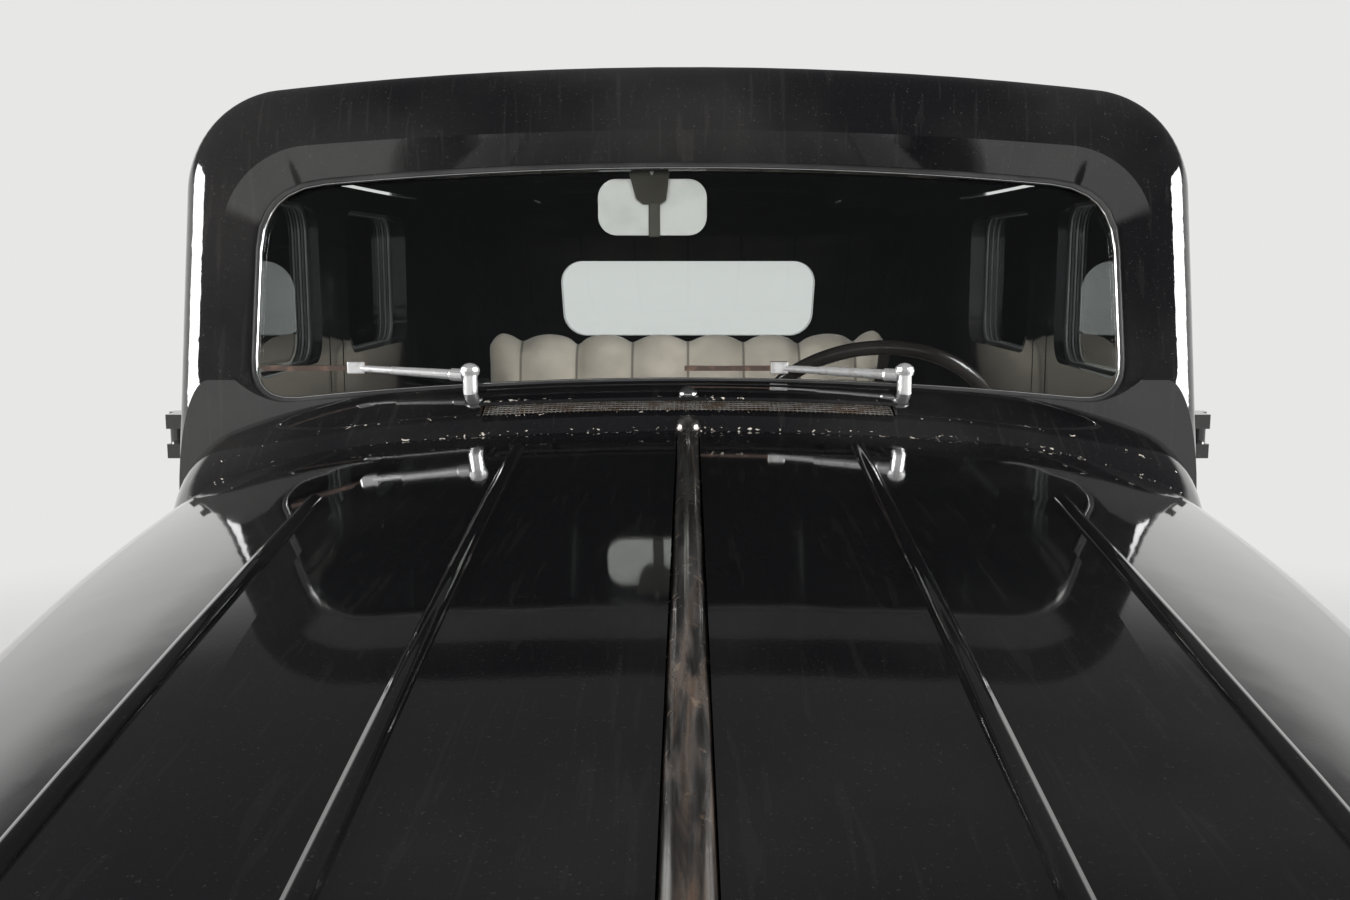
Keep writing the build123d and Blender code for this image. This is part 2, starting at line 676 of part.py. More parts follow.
def lid_hinge_part(pieces, leaf_side):
    """Half of a lid hinge: barrel pieces as (from, to) in thirds; leaf_side 1 is down, -1 is up."""
    leaf_length, leaf_top, leaf_sink = LID_LEAF
    third = LID_HINGE_WIDTH / 3
    half = Part()
    for start, end in pieces:
        low, high = start * third - LID_HINGE_WIDTH / 2, end * third - LID_HINGE_WIDTH / 2
        if start > 0:
            low += HINGE_FACE_GAP
        if end < 3:
            high -= HINGE_FACE_GAP
        barrel = Pos((low + high) / 2, 0, LID_BARREL_RADIUS) * Rot(0, 90, 0) * Cylinder(
            LID_BARREL_RADIUS, high - low
        )
        leaf = Pos((low + high) / 2, leaf_side * leaf_length / 2, (leaf_top - leaf_sink) / 2) * Box(
            high - low, leaf_length, leaf_top + leaf_sink
        )
        half += barrel + leaf
    return half


lid_pin = Pos(0, 0, LID_BARREL_RADIUS) * Rot(0, 90, 0) * Cylinder(LID_PIN_RADIUS, LID_HINGE_WIDTH)
lid_bore = Pos(0, 0, LID_BARREL_RADIUS) * Rot(0, 90, 0) * Cylinder(
    LID_PIN_RADIUS + PIN_CLEARANCE, LID_HINGE_WIDTH
)
lid_root = lid_seat * (lid_hinge_part(((0, 1), (2, 3)), -1) + lid_pin)
lid_moving = lid_seat * (lid_hinge_part(((1, 2),), 1) - lid_bore)
luggage_lid += pair(lid_moving)
rear_body += pair(lid_root)

# Wheel openings of the body over the rear wheels
arch = across(Pos(REAR_AXLE_Y, TYRE_RADIUS) * Circle(ARCH_RADIUS), WHEELHOUSE_X, FAR)
below_floor = block((-RAIL_TUNNEL_X, RAIL_TUNNEL_X), everywhere, (0, FLOOR_Z - FLOOR_THICKNESS))
tail_clearance = block(everywhere, (TAIL_CUT_Y, FAR), (0, VALANCE_Z))
rear_body -= pair(arch) + tail_clearance
side_frames -= pair(arch)
cowl -= below_floor

# Floor, stepped up behind the rear doors, with round houses over the rear wheels
rear_floor_y = (REAR_STEP_Y, FAR)
floor_space = block(everywhere, (-FAR, REAR_STEP_Y), (FLOOR_Z - FLOOR_THICKNESS, FLOOR_Z)) + block(
    everywhere, rear_floor_y, (REAR_FLOOR_Z - FLOOR_THICKNESS, REAR_FLOOR_Z)
) + block(everywhere, (REAR_STEP_Y, REAR_STEP_Y + FLOOR_THICKNESS), (FLOOR_Z - FLOOR_THICKNESS, REAR_FLOOR_Z))
house_ring = Circle(ARCH_RADIUS + FLOOR_THICKNESS) - Circle(ARCH_RADIUS)
house = across(Pos(REAR_AXLE_Y, TYRE_RADIUS) * house_ring, WHEELHOUSE_X, MIDDLE_HALF_WIDTH) + across(
    Pos(REAR_AXLE_Y, TYRE_RADIUS) * Circle(ARCH_RADIUS + FLOOR_THICKNESS),
    WHEELHOUSE_X - FLOOR_THICKNESS,
    WHEELHOUSE_X,
)
house &= block(everywhere, everywhere, (REAR_FLOOR_Z - FLOOR_THICKNESS, FAR))
floor_pan = (floor_space - pair(arch) + pair(house)) & inner_form

# Vent lid, drawn closed and then raised about its rear edge
vent_surface = pair(hood_form(COWL_STATIONS, 0, SILL_Z)) - pair(
    hood_form(COWL_STATIONS, VENT_LID_THICKNESS, SILL_Z)
)
vent_closed = vent_surface & block(
    (-VENT_HALF_WIDTH, VENT_HALF_WIDTH), VENT_Y, (COWL_FRONT_CROWN - COWL_WALL, ROOF_TOP_Z)
)
cowl -= vent_cut


# Hood halves with their raised ribs, the fixed sides below them and the hinge rod
hood_y = (NOSE_REAR_Y + HOOD_GAP, COWL_FRONT_Y - HOOD_GAP)
rod_ends = [(0, y, station_at(y, HOOD_STATIONS)[1] - HOOD_THICKNESS / 2) for y in hood_y]
hood_outer = hood_form(HOOD_STATIONS, 0, SILL_Z)
hood_inner = hood_form(HOOD_STATIONS, HOOD_THICKNESS, SILL_Z)


def hood_height(x, y):
    """Height of the hood's outside over a place."""
    width, crown = station_at(y, HOOD_STATIONS)
    crown_radius = HOOD_CROWN_RADIUS_SHARE * width
    shoulder_radius = HOOD_SHOULDER_RADIUS_SHARE * width
    if x < HOOD_CROWN_SHARE * width:
        return crown - crown_radius + math.sqrt(crown_radius**2 - x**2)
    turn = math.asin(HOOD_CROWN_SHARE * width / crown_radius)
    centre_x = (crown_radius - shoulder_radius) * math.sin(turn)
    centre_z = crown - crown_radius + (crown_radius - shoulder_radius) * math.cos(turn)
    return centre_z + math.sqrt(shoulder_radius**2 - (x - centre_x) ** 2)


def hood_rib(rear, front):
    """Half-round rib that follows the hood between two (X, Y) places, with rounded ends."""
    line = []
    for step in range(RIB_PIECES + 1):
        share = step / RIB_PIECES
        x, y = rear[0] + (front[0] - rear[0]) * share, rear[1] + (front[1] - rear[1]) * share
        line.append((x, y, hood_height(x, y) - RIB_SINK))
    rib = Pos(*line[0]) * Sphere(RIB_RADIUS)
    for start, end in zip(line, line[1:]):
        rib += rod(start, end, RIB_RADIUS) + Pos(*end) * Sphere(RIB_RADIUS)
    return rib


rod_slope = (rod_ends[1][2] - rod_ends[0][2]) / (hood_y[1] - hood_y[0])


def rod_place(y):
    """Point on the hood hinge line."""
    return (0, y, rod_ends[0][2] + rod_slope * (y - hood_y[0]))


hood_rod = rod(rod_place(COWL_FRONT_Y + ROD_SEAT), rod_place(NOSE_REAR_Y - ROD_SEAT), HOOD_ROD_RADIUS)
rod_clearance = rod(rod_place(0), rod_place(-FAR), HOOD_ROD_RADIUS + HOOD_ROD_RUNNING_GAP)
hood_half = (hood_outer - hood_inner - rod_clearance) & block(
    (HOOD_EDGE_X, FAR), hood_y, (HOOD_SPLIT_Z + HOOD_GAP, FAR)
)
for rear, front in HOOD_RIBS:
    hood_half += hood_rib(rear, front)
hood_half -= hood_inner
cowl -= hood_rod


def nose_form(inset):
    """Nose as a solid: a round-fronted prism leaning back, under the line of the hood."""
    half = NOSE_HALF_WIDTH - inset
    front, rear = NOSE_FRONT_Y + inset, NOSE_REAR_Y
    rear_half = HOOD_STATIONS[-1][1] + NOSE_OVERLAP - inset
    nose_arc = ThreePointArc((-half, front + NOSE_ROUND), (0, front), (half, front + NOSE_ROUND))
    cheek = [
        Line((side * half, front + NOSE_ROUND), (side * rear_half, NOSE_CHEEK_Y + inset)) for side in (-1, 1)
    ]
    stretch = Polyline(
        (-rear_half, NOSE_CHEEK_Y + inset), (-rear_half, rear + FORM_MARGIN),
        (rear_half, rear + FORM_MARGIN), (rear_half, NOSE_CHEEK_Y + inset),
    )
    plan = make_face([nose_arc, *cheek, stretch])
    lean = Axis((0, NOSE_FRONT_Y, NOSE_PIVOT_Z), (1, 0, 0))
    column = upward(plan, NOSE_PIVOT_Z - FORM_MARGIN, HOOD_STATIONS[-1][2] + FORM_MARGIN).rotate(
        lean, -NOSE_LEAN
    )
    stations = [(NOSE_REAR_Y + 1, *HOOD_STATIONS[-1][1:]), (NOSE_FRONT_Y - FORM_MARGIN, *NOSE_END_STATION)]
    under = pair(hood_form(stations, inset, NOSE_PIVOT_Z - FORM_MARGIN))
    bottom = NOSE_PIVOT_Z if inset == 0 else NOSE_PIVOT_Z - FORM_MARGIN
    return column & under & block(everywhere, (-FAR, NOSE_REAR_Y), (bottom, FAR))


nose_outer = nose_form(0)
nose_inner = nose_form(NOSE_SHEET)
grille_shape = make_face(Polyline(
    (-GRILLE_HALF_WIDTH[0], GRILLE_Z[0]), (GRILLE_HALF_WIDTH[0], GRILLE_Z[0]),
    (GRILLE_HALF_WIDTH[1], GRILLE_Z[1]), (-GRILLE_HALF_WIDTH[1], GRILLE_Z[1]), close=True,
))
grille_shape = fillet(grille_shape.vertices().sort_by(Axis.Y)[2:], GRILLE_TOP_RADIUS)
grille_shape = fillet(grille_shape.vertices().sort_by(Axis.Y)[:2], GRILLE_TOP_RADIUS / 3)
grille_hole = lengthwise(grille_shape, -FAR, CORE_Y[0])
radiator_shell = nose_outer - nose_inner - grille_hole - hood_rod

bar_layer = nose_form(GRILLE_BAR_SINK[0]) - nose_form(GRILLE_BAR_SINK[1])
bar_cutters = Part()
bar_pitch = 2 * GRILLE_HALF_WIDTH[1] / (GRILLE_BAR_COUNT + 1)
for number in range(GRILLE_BAR_COUNT):
    x = (number + 1) * bar_pitch - GRILLE_HALF_WIDTH[1]
    width = GRILLE_BAR_WIDTH * (3 if number == GRILLE_BAR_COUNT // 2 else 1)
    bar_cutters += block((x - width / 2, x + width / 2), (-FAR, CORE_Y[0]), GRILLE_Z)
grille_rim_shape = grille_shape - offset(grille_shape, -GRILLE_RIM)
grille_rim = lengthwise(grille_rim_shape, -FAR, CORE_Y[0])
grille = bar_layer & grille_hole & (bar_cutters + grille_rim)
radiator_core = block((-CORE_HALF_WIDTH, CORE_HALF_WIDTH), CORE_Y, (FRONT_RAIL_TOP_Z, GRILLE_Z[1]))
radiator_core = (radiator_core - radiator_shell).solids().sort_by(SortBy.VOLUME)[-1]


def bullet(place, radius, length, blunt):
    """Lamp body: a round front that tapers back along +Y to a blunt tip."""
    side = ThreePointArc((radius, 0), (radius * 0.86, length * 0.5), (blunt, length))
    end = length + blunt / 2
    tip = ThreePointArc(*[(out, along) for along, out in dome_points(blunt, length, end)])
    lines = [side, tip, Line((0, end), (0, 0)), Line((0, 0), (radius, 0))]
    return Pos(*place) * spun(lines, Axis.Y)


def fender_section(inner_x, crown_x, outer_x, radius, valley_drop, skirt_drop, sheet):
    """Cross-section of a fender above its wheel as (X, radius): shelf, crown and skirt."""
    def dome(shrink, foot):
        top = radius - shrink
        edge = (outer_x - shrink, top - FENDER_EDGE_DROP)
        crown = ThreePointArc(
            (inner_x, top - valley_drop), ((inner_x + crown_x) / 2, top - valley_drop / 4), (crown_x, top)
        )
        outer = ThreePointArc(
            (crown_x, top), ((crown_x + outer_x) / 2 + FENDER_SHOULDER_X, top - FENDER_SHOULDER_DROP),
            edge
        )
        foot_line = Polyline(edge, (edge[0], foot), (inner_x, foot), (inner_x, top - valley_drop))
        return make_face([crown, outer, foot_line])
    return dome(0, radius - skirt_drop) - dome(sheet, radius - skirt_drop * 2)


def fender_path(axle_y, front_angle, rear_angle, radius):
    """Line of a fender's crown as (Y, Z) arcs over the wheel, from front to rear."""
    centre = (axle_y, TYRE_RADIUS)
    return CenterArc(centre, radius, front_angle, rear_angle - front_angle)


front_arc = fender_path(FRONT_AXLE_Y, FENDER_FRONT_ANGLE, FENDER_REAR_ANGLE, FENDER_RADIUS)
front_drop = (front_arc @ 1).Y - BOARD_TOP_Z
front_turn = 90 - FENDER_REAR_ANGLE
front_tail = JernArc(
    front_arc @ 1, front_arc % 1, front_drop / (1 - math.cos(math.radians(front_turn))), front_turn
)
rear_arc = fender_path(REAR_AXLE_Y, 180, REAR_FENDER_TAIL_ANGLE, REAR_FENDER_RADIUS)
rear_tail = JernArc(rear_arc @ 1, rear_arc % 1, REAR_FENDER_TAIL_RADIUS, -REAR_FENDER_TAIL_TURN)


def fender(section, arcs, radius):
    """Fender: its section carried along the arcs of its crown line."""
    path = Plane.YZ * Wire([arc.edge() for arc in arcs])
    start = Plane(origin=path @ 0, x_dir=(1, 0, 0), z_dir=path % 0)
    return sweep(start * Pos(0, radius) * mirror(section, about=Plane.XZ), path=path)


front_section = fender_section(
    FENDER_VALLEY_X, FENDER_CROWN_X, FENDER_HALF_WIDTH, FENDER_RADIUS,
    FENDER_VALLEY_DROP, FENDER_SKIRT_DROP, FENDER_SHEET,
)
rear_section = fender_section(
    BOARD_INNER_X, REAR_FENDER_CROWN_X, FENDER_HALF_WIDTH, REAR_FENDER_RADIUS,
    FENDER_SHEET, FENDER_SKIRT_DROP, FENDER_SHEET,
)
under_board = block((0, FAR), (FRONT_AXLE_Y + FENDER_RADIUS, FAR), (0, BOARD_TOP_Z - BOARD_THICKNESS))
board_front, board_rear = (front_tail @ 1).X, (rear_arc @ 0).X
hood_block = hood_outer + nose_outer
front_fender = fender(front_section, (front_arc, front_tail), FENDER_RADIUS)
front_fender = front_fender - under_board - outer_form - hood_block
rear_fender = fender(rear_section, (rear_arc, rear_tail), REAR_FENDER_RADIUS) - outer_form

shelf_drop = FENDER_VALLEY_DROP + FENDER_SHEET
shelf_arc = fender_path(FRONT_AXLE_Y, FENDER_FRONT_ANGLE, FENDER_REAR_ANGLE, FENDER_RADIUS - shelf_drop)
shelf_tail = JernArc(shelf_arc @ 1, shelf_arc % 1, front_tail.radius + shelf_drop, front_turn)
shelf_fill = across(make_face([
    shelf_arc, shelf_tail,
    Polyline(
        shelf_tail @ 1, (0, (shelf_tail @ 1).Y), (0, 0), (-FAR, 0), (-FAR, (shelf_arc @ 0).Y), shelf_arc @ 0
    ),
]), 0, FAR)
hood_side_wall = hood_outer - hood_form(HOOD_STATIONS, HOOD_SIDE_SHEET, SILL_Z)
hood_side = hood_side_wall & block((0, FAR), (NOSE_REAR_Y, COWL_FRONT_Y), (0, HOOD_SPLIT_Z)) - shelf_fill

# Running board between the fenders
running_board = block(
    (BOARD_INNER_X, FENDER_HALF_WIDTH), (board_front, board_rear), (
        BOARD_TOP_Z - BOARD_THICKNESS, BOARD_TOP_Z
    )
) - outer_form

# Chassis rails as (Y, Z), stepped up over both axles, with cross members
rail_low = FLOOR_Z - FLOOR_THICKNESS
rail_high = REAR_FLOOR_Z - FLOOR_THICKNESS
rail_top = [
    (RAIL_FRONT_Y, FRONT_RAIL_TOP_Z), (FRONT_STEP_Y[0], FRONT_RAIL_TOP_Z), (FRONT_STEP_Y[1], rail_low),
    (REAR_STEP_Y + FLOOR_THICKNESS, rail_low), (REAR_STEP_Y + RAIL_STEP_RUN, rail_high),
    (RAIL_REAR_Y, rail_high),
]
rail_outline = make_face(
    Polyline(*rail_top, *[(y, z - RAIL_DEPTH) for y, z in reversed(rail_top)], close=True)
)
chassis = pair(across(rail_outline, *RAIL_X))
for y_from, y_to, top in CROSS_MEMBERS:
    chassis += block((-RAIL_X[0], RAIL_X[0]), (y_from, y_to), (top - CROSS_MEMBER_DEPTH, top))
strap_top = rail_low - RAIL_DEPTH
for strap_y in STRAPS_Y:
    chassis += block((-RAIL_X[1], RAIL_X[1]), strap_y, (strap_top - STRAP_DEPTH, strap_top))
radiator_shell -= chassis


# Springs: a leaf pack bowed between two eyes under each rail
def leaf_spring(axle_y, half_length, centre_z, rail_z, thickness):
    """Bowed leaf pack with an eye block at each end that meets the rail."""
    ends = [(axle_y - half_length, rail_z - SPRING_EYE), (axle_y + half_length, rail_z - SPRING_EYE)]
    upper = ThreePointArc(ends[0], (axle_y, centre_z + thickness / 2), ends[1])
    lower = ThreePointArc(
        (ends[0][0], ends[0][1] - thickness), (axle_y, centre_z - thickness / 2), (
            ends[1][0], ends[1][1] - thickness
        )
    )
    pack = make_face([upper, lower, Line(upper @ 0, lower @ 0), Line(upper @ 1, lower @ 1)])
    outline = Sketch() + pack
    for y, z in ends:
        outline += Pos(y, z + (SPRING_EYE - thickness) / 2) * Rectangle(
            SPRING_EYE * 2, SPRING_EYE + thickness
        )
    middle_x = sum(RAIL_X) / 2
    return across(outline, middle_x - SPRING_WIDTH / 2, middle_x + SPRING_WIDTH / 2)


front_spring = leaf_spring(
    FRONT_AXLE_Y, FRONT_SPRING_HALF, FRONT_BEAM_Z[1] + SPRING_THICKNESS / 2,
    FRONT_RAIL_TOP_Z - RAIL_DEPTH, SPRING_THICKNESS
)
rear_spring = leaf_spring(
    REAR_AXLE_Y, REAR_SPRING_HALF, TYRE_RADIUS + AXLE_TUBE_RADIUS + SPRING_THICKNESS / 2,
    rail_high - RAIL_DEPTH, SPRING_THICKNESS
)

# Front axle: I-beam between two bosses that carry the kingpins
beam = block(
    (-BEAM_END_X, BEAM_END_X), (FRONT_AXLE_Y - BEAM_WIDTH / 2, FRONT_AXLE_Y + BEAM_WIDTH / 2),
    FRONT_BEAM_Z
)
flute_z = (FRONT_BEAM_Z[0] + BEAM_FLANGE, FRONT_BEAM_Z[1] - BEAM_FLANGE)
for side in (-1, 1):
    flute_y = sorted((FRONT_AXLE_Y + side * BEAM_WEB / 2, FRONT_AXLE_Y + side * BEAM_WIDTH))
    beam -= block((-KINGPIN_X + BEAM_WIDTH, KINGPIN_X - BEAM_WIDTH), flute_y, flute_z)
neck = block(
    (BEAM_END_X - BEAM_FLANGE, KINGPIN_X), (FRONT_AXLE_Y - NECK_WIDTH / 2, FRONT_AXLE_Y + NECK_WIDTH / 2),
    (KINGPIN_BOSS_Z[0] + KNUCKLE_FACE_GAP, KINGPIN_BOSS_Z[1] - KNUCKLE_FACE_GAP),
)
boss_middle = sum(KINGPIN_BOSS_Z) / 2
boss_height = KINGPIN_BOSS_Z[1] - KINGPIN_BOSS_Z[0]
boss = Pos(KINGPIN_X, FRONT_AXLE_Y, boss_middle) * Cylinder(KINGPIN_BOSS_RADIUS, boss_height)
bore = Pos(KINGPIN_X, FRONT_AXLE_Y, boss_middle) * Cylinder(KINGPIN_RADIUS + PIN_CLEARANCE, FAR)
front_axle = beam + pair(boss + neck) - pair(bore)

# Rear axle: tube with the final drive in its middle
tube = Rot(0, 90, 0) * Cylinder(AXLE_TUBE_RADIUS, 2 * BACKING_X)
drive = Rot(0, 90, 0) * Cylinder(FINAL_DRIVE_RADIUS, FINAL_DRIVE_RADIUS)
rear_plates = Pos(BACKING_X + PLATE_THICKNESS / 2, 0, 0) * Rot(0, 90, 0) * Cylinder(
    BACKING_RADIUS, PLATE_THICKNESS
)
rear_spindle = Pos((BACKING_X + SPINDLE_END_X) / 2, 0, 0) * Rot(0, 90, 0) * Cylinder(
    SPINDLE_RADIUS, SPINDLE_END_X - BACKING_X
)
rear_axle = Pos(0, REAR_AXLE_Y, TYRE_RADIUS) * (tube + drive + pair(rear_plates + rear_spindle))

# Steering knuckle: fork and pin round the beam's boss, backing plate and spindle
ears = block(
    (KINGPIN_X - KINGPIN_BOSS_RADIUS, KNUCKLE_WEB_X[1]),
    (-KINGPIN_BOSS_RADIUS, KINGPIN_BOSS_RADIUS),
    KNUCKLE_Z,
) - block(
    (0, KNUCKLE_WEB_X[0]),
    everywhere,
    (KINGPIN_BOSS_Z[0] - KNUCKLE_FACE_GAP, KINGPIN_BOSS_Z[1] + KNUCKLE_FACE_GAP),
)
pin = Pos(KINGPIN_X, 0, sum(KNUCKLE_Z) / 2) * Cylinder(KINGPIN_RADIUS, KNUCKLE_Z[1] - KNUCKLE_Z[0])
spindle_length = SPINDLE_END_X - KNUCKLE_WEB_X[0]
spindle = Pos(KNUCKLE_WEB_X[0] + spindle_length / 2, 0, TYRE_RADIUS) * Rot(0, 90, 0) * Cylinder(
    SPINDLE_RADIUS, spindle_length
)
plate = Pos(BACKING_X + PLATE_THICKNESS / 2, 0, TYRE_RADIUS) * Rot(0, 90, 0) * Cylinder(
    BACKING_RADIUS, PLATE_THICKNESS
)
knuckle = Pos(0, FRONT_AXLE_Y, 0) * (ears + pin + spindle + plate)

# Wheel with its hub cap, and the tyre, turned about the axle; sections are (distance out, radius)
def turned(outline, x):
    """Outline drawn as (distance out from the wheel's middle, radius), turned about the axle."""
    return Pos(x, 0, 0) * revolve(outline, Axis.X)


rim_half, bead = TYRE_WIDTH / 2 - RIM_INSET, RIM_RADIUS
tyre_half, shoulder = TYRE_WIDTH / 2, TYRE_RADIUS - TYRE_SHOULDER_DROP
wall_radius = (bead + shoulder) / 2
tyre_wall = [
    ThreePointArc((side * rim_half, bead), (side * tyre_half, wall_radius), (side * TREAD_HALF, shoulder))
    for side in (-1, 1)
]
tyre_tread = ThreePointArc((-TREAD_HALF, shoulder), (0, TYRE_RADIUS), (TREAD_HALF, shoulder))
tyre_section = make_face([*tyre_wall, tyre_tread, Line((-rim_half, bead), (rim_half, bead))])
rim_section = make_face(Polyline(
    (-rim_half, bead), (rim_half, bead), (rim_half, bead + RIM_FLANGE),
    (rim_half + RIM_SHEET, bead + RIM_FLANGE),
    (rim_half + RIM_SHEET, bead - RIM_SHEET), (-rim_half - RIM_SHEET, bead - RIM_SHEET),
    (-rim_half - RIM_SHEET, bead + RIM_FLANGE), (-rim_half, bead + RIM_FLANGE), close=True,
))
disc_section = make_face(Polyline(
    (DISC_X[0], bead - RIM_SHEET), (DISC_X[0] + DISC_SHEET, bead - RIM_SHEET),
    (DISC_X[1] + DISC_SHEET, DISC_BEND_RADIUS),
    (DISC_X[2] + DISC_SHEET, HUB_CAP_RADIUS), (DISC_X[2] + DISC_SHEET, SPINDLE_RADIUS + PIN_CLEARANCE),
    (DISC_X[2], SPINDLE_RADIUS + PIN_CLEARANCE), (DISC_X[2], HUB_CAP_RADIUS),
    (DISC_X[1], DISC_BEND_RADIUS), close=True,
))
cap_foot, cap_edge = DISC_X[2] + DISC_SHEET, HUB_CAP_RADIUS - CAP_INSET
cap_arc = ThreePointArc(*dome_points(cap_edge, cap_foot, CAP_TIP_X))
cap_section = make_face([cap_arc, Polyline((CAP_TIP_X, 0), (cap_foot, 0), (cap_foot, cap_edge))])
drum_x = (BACKING_X + PLATE_THICKNESS + DRUM_GAP - TRACK / 2, DISC_X[2])
drum_section = make_face(Polyline(
    (drum_x[0], BACKING_RADIUS - DRUM_SHEET), (drum_x[0], BACKING_RADIUS),
    (drum_x[1], BACKING_RADIUS - DRUM_TAPER),
    (drum_x[1], SPINDLE_RADIUS + PIN_CLEARANCE), (drum_x[1] - DRUM_SHEET, SPINDLE_RADIUS + PIN_CLEARANCE),
    (drum_x[1] - DRUM_SHEET, BACKING_RADIUS - DRUM_SHEET - DRUM_TAPER), close=True,
))
wheel = turned(rim_section + disc_section + cap_section + drum_section, TRACK / 2)
wheel -= Pos(SPINDLE_END_X, 0, 0) * Rot(0, 90, 0) * Cylinder(
    SPINDLE_RADIUS + PIN_CLEARANCE, 2 * PLATE_THICKNESS
)
tyre = turned(tyre_section, TRACK / 2) - wheel

# Engine and driveline under the hood and floor
engine_block = block((-ENGINE_HALF_WIDTH, ENGINE_HALF_WIDTH), ENGINE_Y, (ENGINE_Z, ENGINE_TOP_Z)) + block(
    (-SUMP_HALF_WIDTH, SUMP_HALF_WIDTH), SUMP_Y, (SUMP_Z, ENGINE_Z)
)
shaft_end = (0, REAR_AXLE_Y - FINAL_DRIVE_RADIUS, TYRE_RADIUS)
driveline = rod((0, ENGINE_Y[1], GEARBOX_Z), (0, GEARBOX_END_Y, GEARBOX_Z), GEARBOX_RADIUS) + rod(
    (0, GEARBOX_END_Y, GEARBOX_Z), shaft_end, SHAFT_RADIUS
) - rear_axle
exhaust_z = rail_low - RAIL_DEPTH - STRAP_DEPTH - EXHAUST_RADIUS
silencer_line = [(x, y, exhaust_z) for x, y in EXHAUST_ROUTE]
exhaust = rod(silencer_line[0], silencer_line[1], EXHAUST_RADIUS)
exhaust += rod(silencer_line[1], silencer_line[2], SILENCER_RADIUS)
exhaust += rod(silencer_line[2], silencer_line[3], EXHAUST_RADIUS)
exhaust += rod(EXHAUST_PORT, silencer_line[0], EXHAUST_RADIUS) - engine_block
fuel_tank = upward(
    rounded_rectangle(
        (-TANK_HALF_WIDTH, TANK_Y[0]), (2 * TANK_HALF_WIDTH, TANK_Y[1] - TANK_Y[0]), TANK_RADIUS
    ),
    TANK_Z, rail_high
)

# Bumpers: bowed blades on brackets from the rails
def bumper(sign, face_y):
    """Bumper blade at one end of the car, bowed in plan, with its brackets and guards."""
    def blade_line(depth):
        middle = face_y - sign * depth
        tip = middle - sign * BUMPER_BOW
        return ThreePointArc((-BUMPER_HALF_WIDTH, tip), (0, middle), (BUMPER_HALF_WIDTH, tip))
    outer_line, inner_line = blade_line(0), blade_line(BUMPER_SHEET)
    plan = make_face(
        [outer_line, inner_line, Line(outer_line @ 0, inner_line @ 0), Line(outer_line @ 1, inner_line @ 1)]
    )
    blade = upward(plan, BUMPER_Z[0], BUMPER_Z[1])
    ends = [
        edge for edge in blade.edges()
        if abs((edge @ 0.5).X) > BUMPER_HALF_WIDTH - 1 and edge.length < BUMPER_SHEET * 2
    ]
    return fillet(ends, BUMPER_END_RADIUS)


middle_rail = sum(RAIL_X) / 2


def bracket(y_from, y_to, z_from, z_to):
    """Flat bar from a rail to a bumper, one each side."""
    return pair(
        block(
            (middle_rail - BRACKET_HALF_WIDTH, middle_rail + BRACKET_HALF_WIDTH), (y_from, y_to), (z_from, z_to)
        )
    )


front_face_y, rear_face_y = RAIL_FRONT_Y - FRONT_BUMPER_REACH, RAIL_REAR_Y + REAR_BUMPER_REACH
front_blade, rear_blade = bumper(-1, front_face_y), bumper(1, rear_face_y)
blade_set_back = BUMPER_BOW * (middle_rail / BUMPER_HALF_WIDTH) ** 2 + BUMPER_SHEET - BRACKET_OVERLAP
front_bracket = bracket(
    front_face_y + blade_set_back, RAIL_FRONT_Y, FRONT_RAIL_TOP_Z - RAIL_DEPTH,
    FRONT_RAIL_TOP_Z - RAIL_DEPTH + BRACKET_DEPTH
)
rear_bracket = bracket(
    RAIL_REAR_Y - BRACKET_HOLD, rear_face_y - blade_set_back, rail_high - RAIL_DEPTH - BRACKET_DEPTH,
    rail_high - RAIL_DEPTH
)
bumpers = (front_blade + front_bracket) + (rear_blade + rear_bracket)

# Lamps
lamp_x, lamp_y, lamp_z = HEADLAMP_PLACE
lamp_body = bullet(HEADLAMP_PLACE, HEADLAMP_RADIUS, HEADLAMP_LENGTH, HEADLAMP_TIP_RADIUS)
stalk = upward(
    Pos(lamp_x, lamp_y + STALK_SET_BACK) * Ellipse(STALK_HALF[0], STALK_HALF[1]),
    TYRE_RADIUS + FENDER_RADIUS / 2, lamp_z
)
lamp_cup = Pos(lamp_x, lamp_y, lamp_z) * Rot(90, 0, 0) * Cylinder(HEADLAMP_RADIUS - LENS_RIM, LENS_SINK * 2)
headlamp = (lamp_body + stalk - front_fender - lamp_cup).solids().sort_by(Axis.Z)[-1]
lens_edge = HEADLAMP_RADIUS - LENS_RIM
lens_points = dome_points(lens_edge, 0, -LENS_THICKNESS)
lens_dome = ThreePointArc(*[(out, along) for along, out in lens_points])
lens_back = Polyline((0, -LENS_THICKNESS), (0, LENS_SINK), (lens_edge, LENS_SINK), (lens_edge, 0))
headlamp_lens = Pos(*HEADLAMP_PLACE) * spun([lens_dome, lens_back], Axis.Y)
tail_x, tail_y = TAIL_LAMP_PLACE
tail_base_z = TYRE_RADIUS + math.sqrt(REAR_FENDER_RADIUS**2 - (tail_y - REAR_AXLE_Y) ** 2)
tail_z = tail_base_z + TAIL_LAMP_RISE
tail_lamp = Pos(tail_x, tail_y, tail_z) * Rot(90, 0, 0) * Cylinder(TAIL_LAMP_RADIUS, TAIL_LAMP_LENGTH)
tail_lamp += upward(
    Pos(tail_x, tail_y) * Ellipse(TAIL_LAMP_RADIUS / 3, TAIL_LAMP_LENGTH / 3),
    TYRE_RADIUS + FENDER_RADIUS / 2, tail_z
)
tail_lamp = (tail_lamp - rear_fender).solids().sort_by(Axis.Z)[-1]

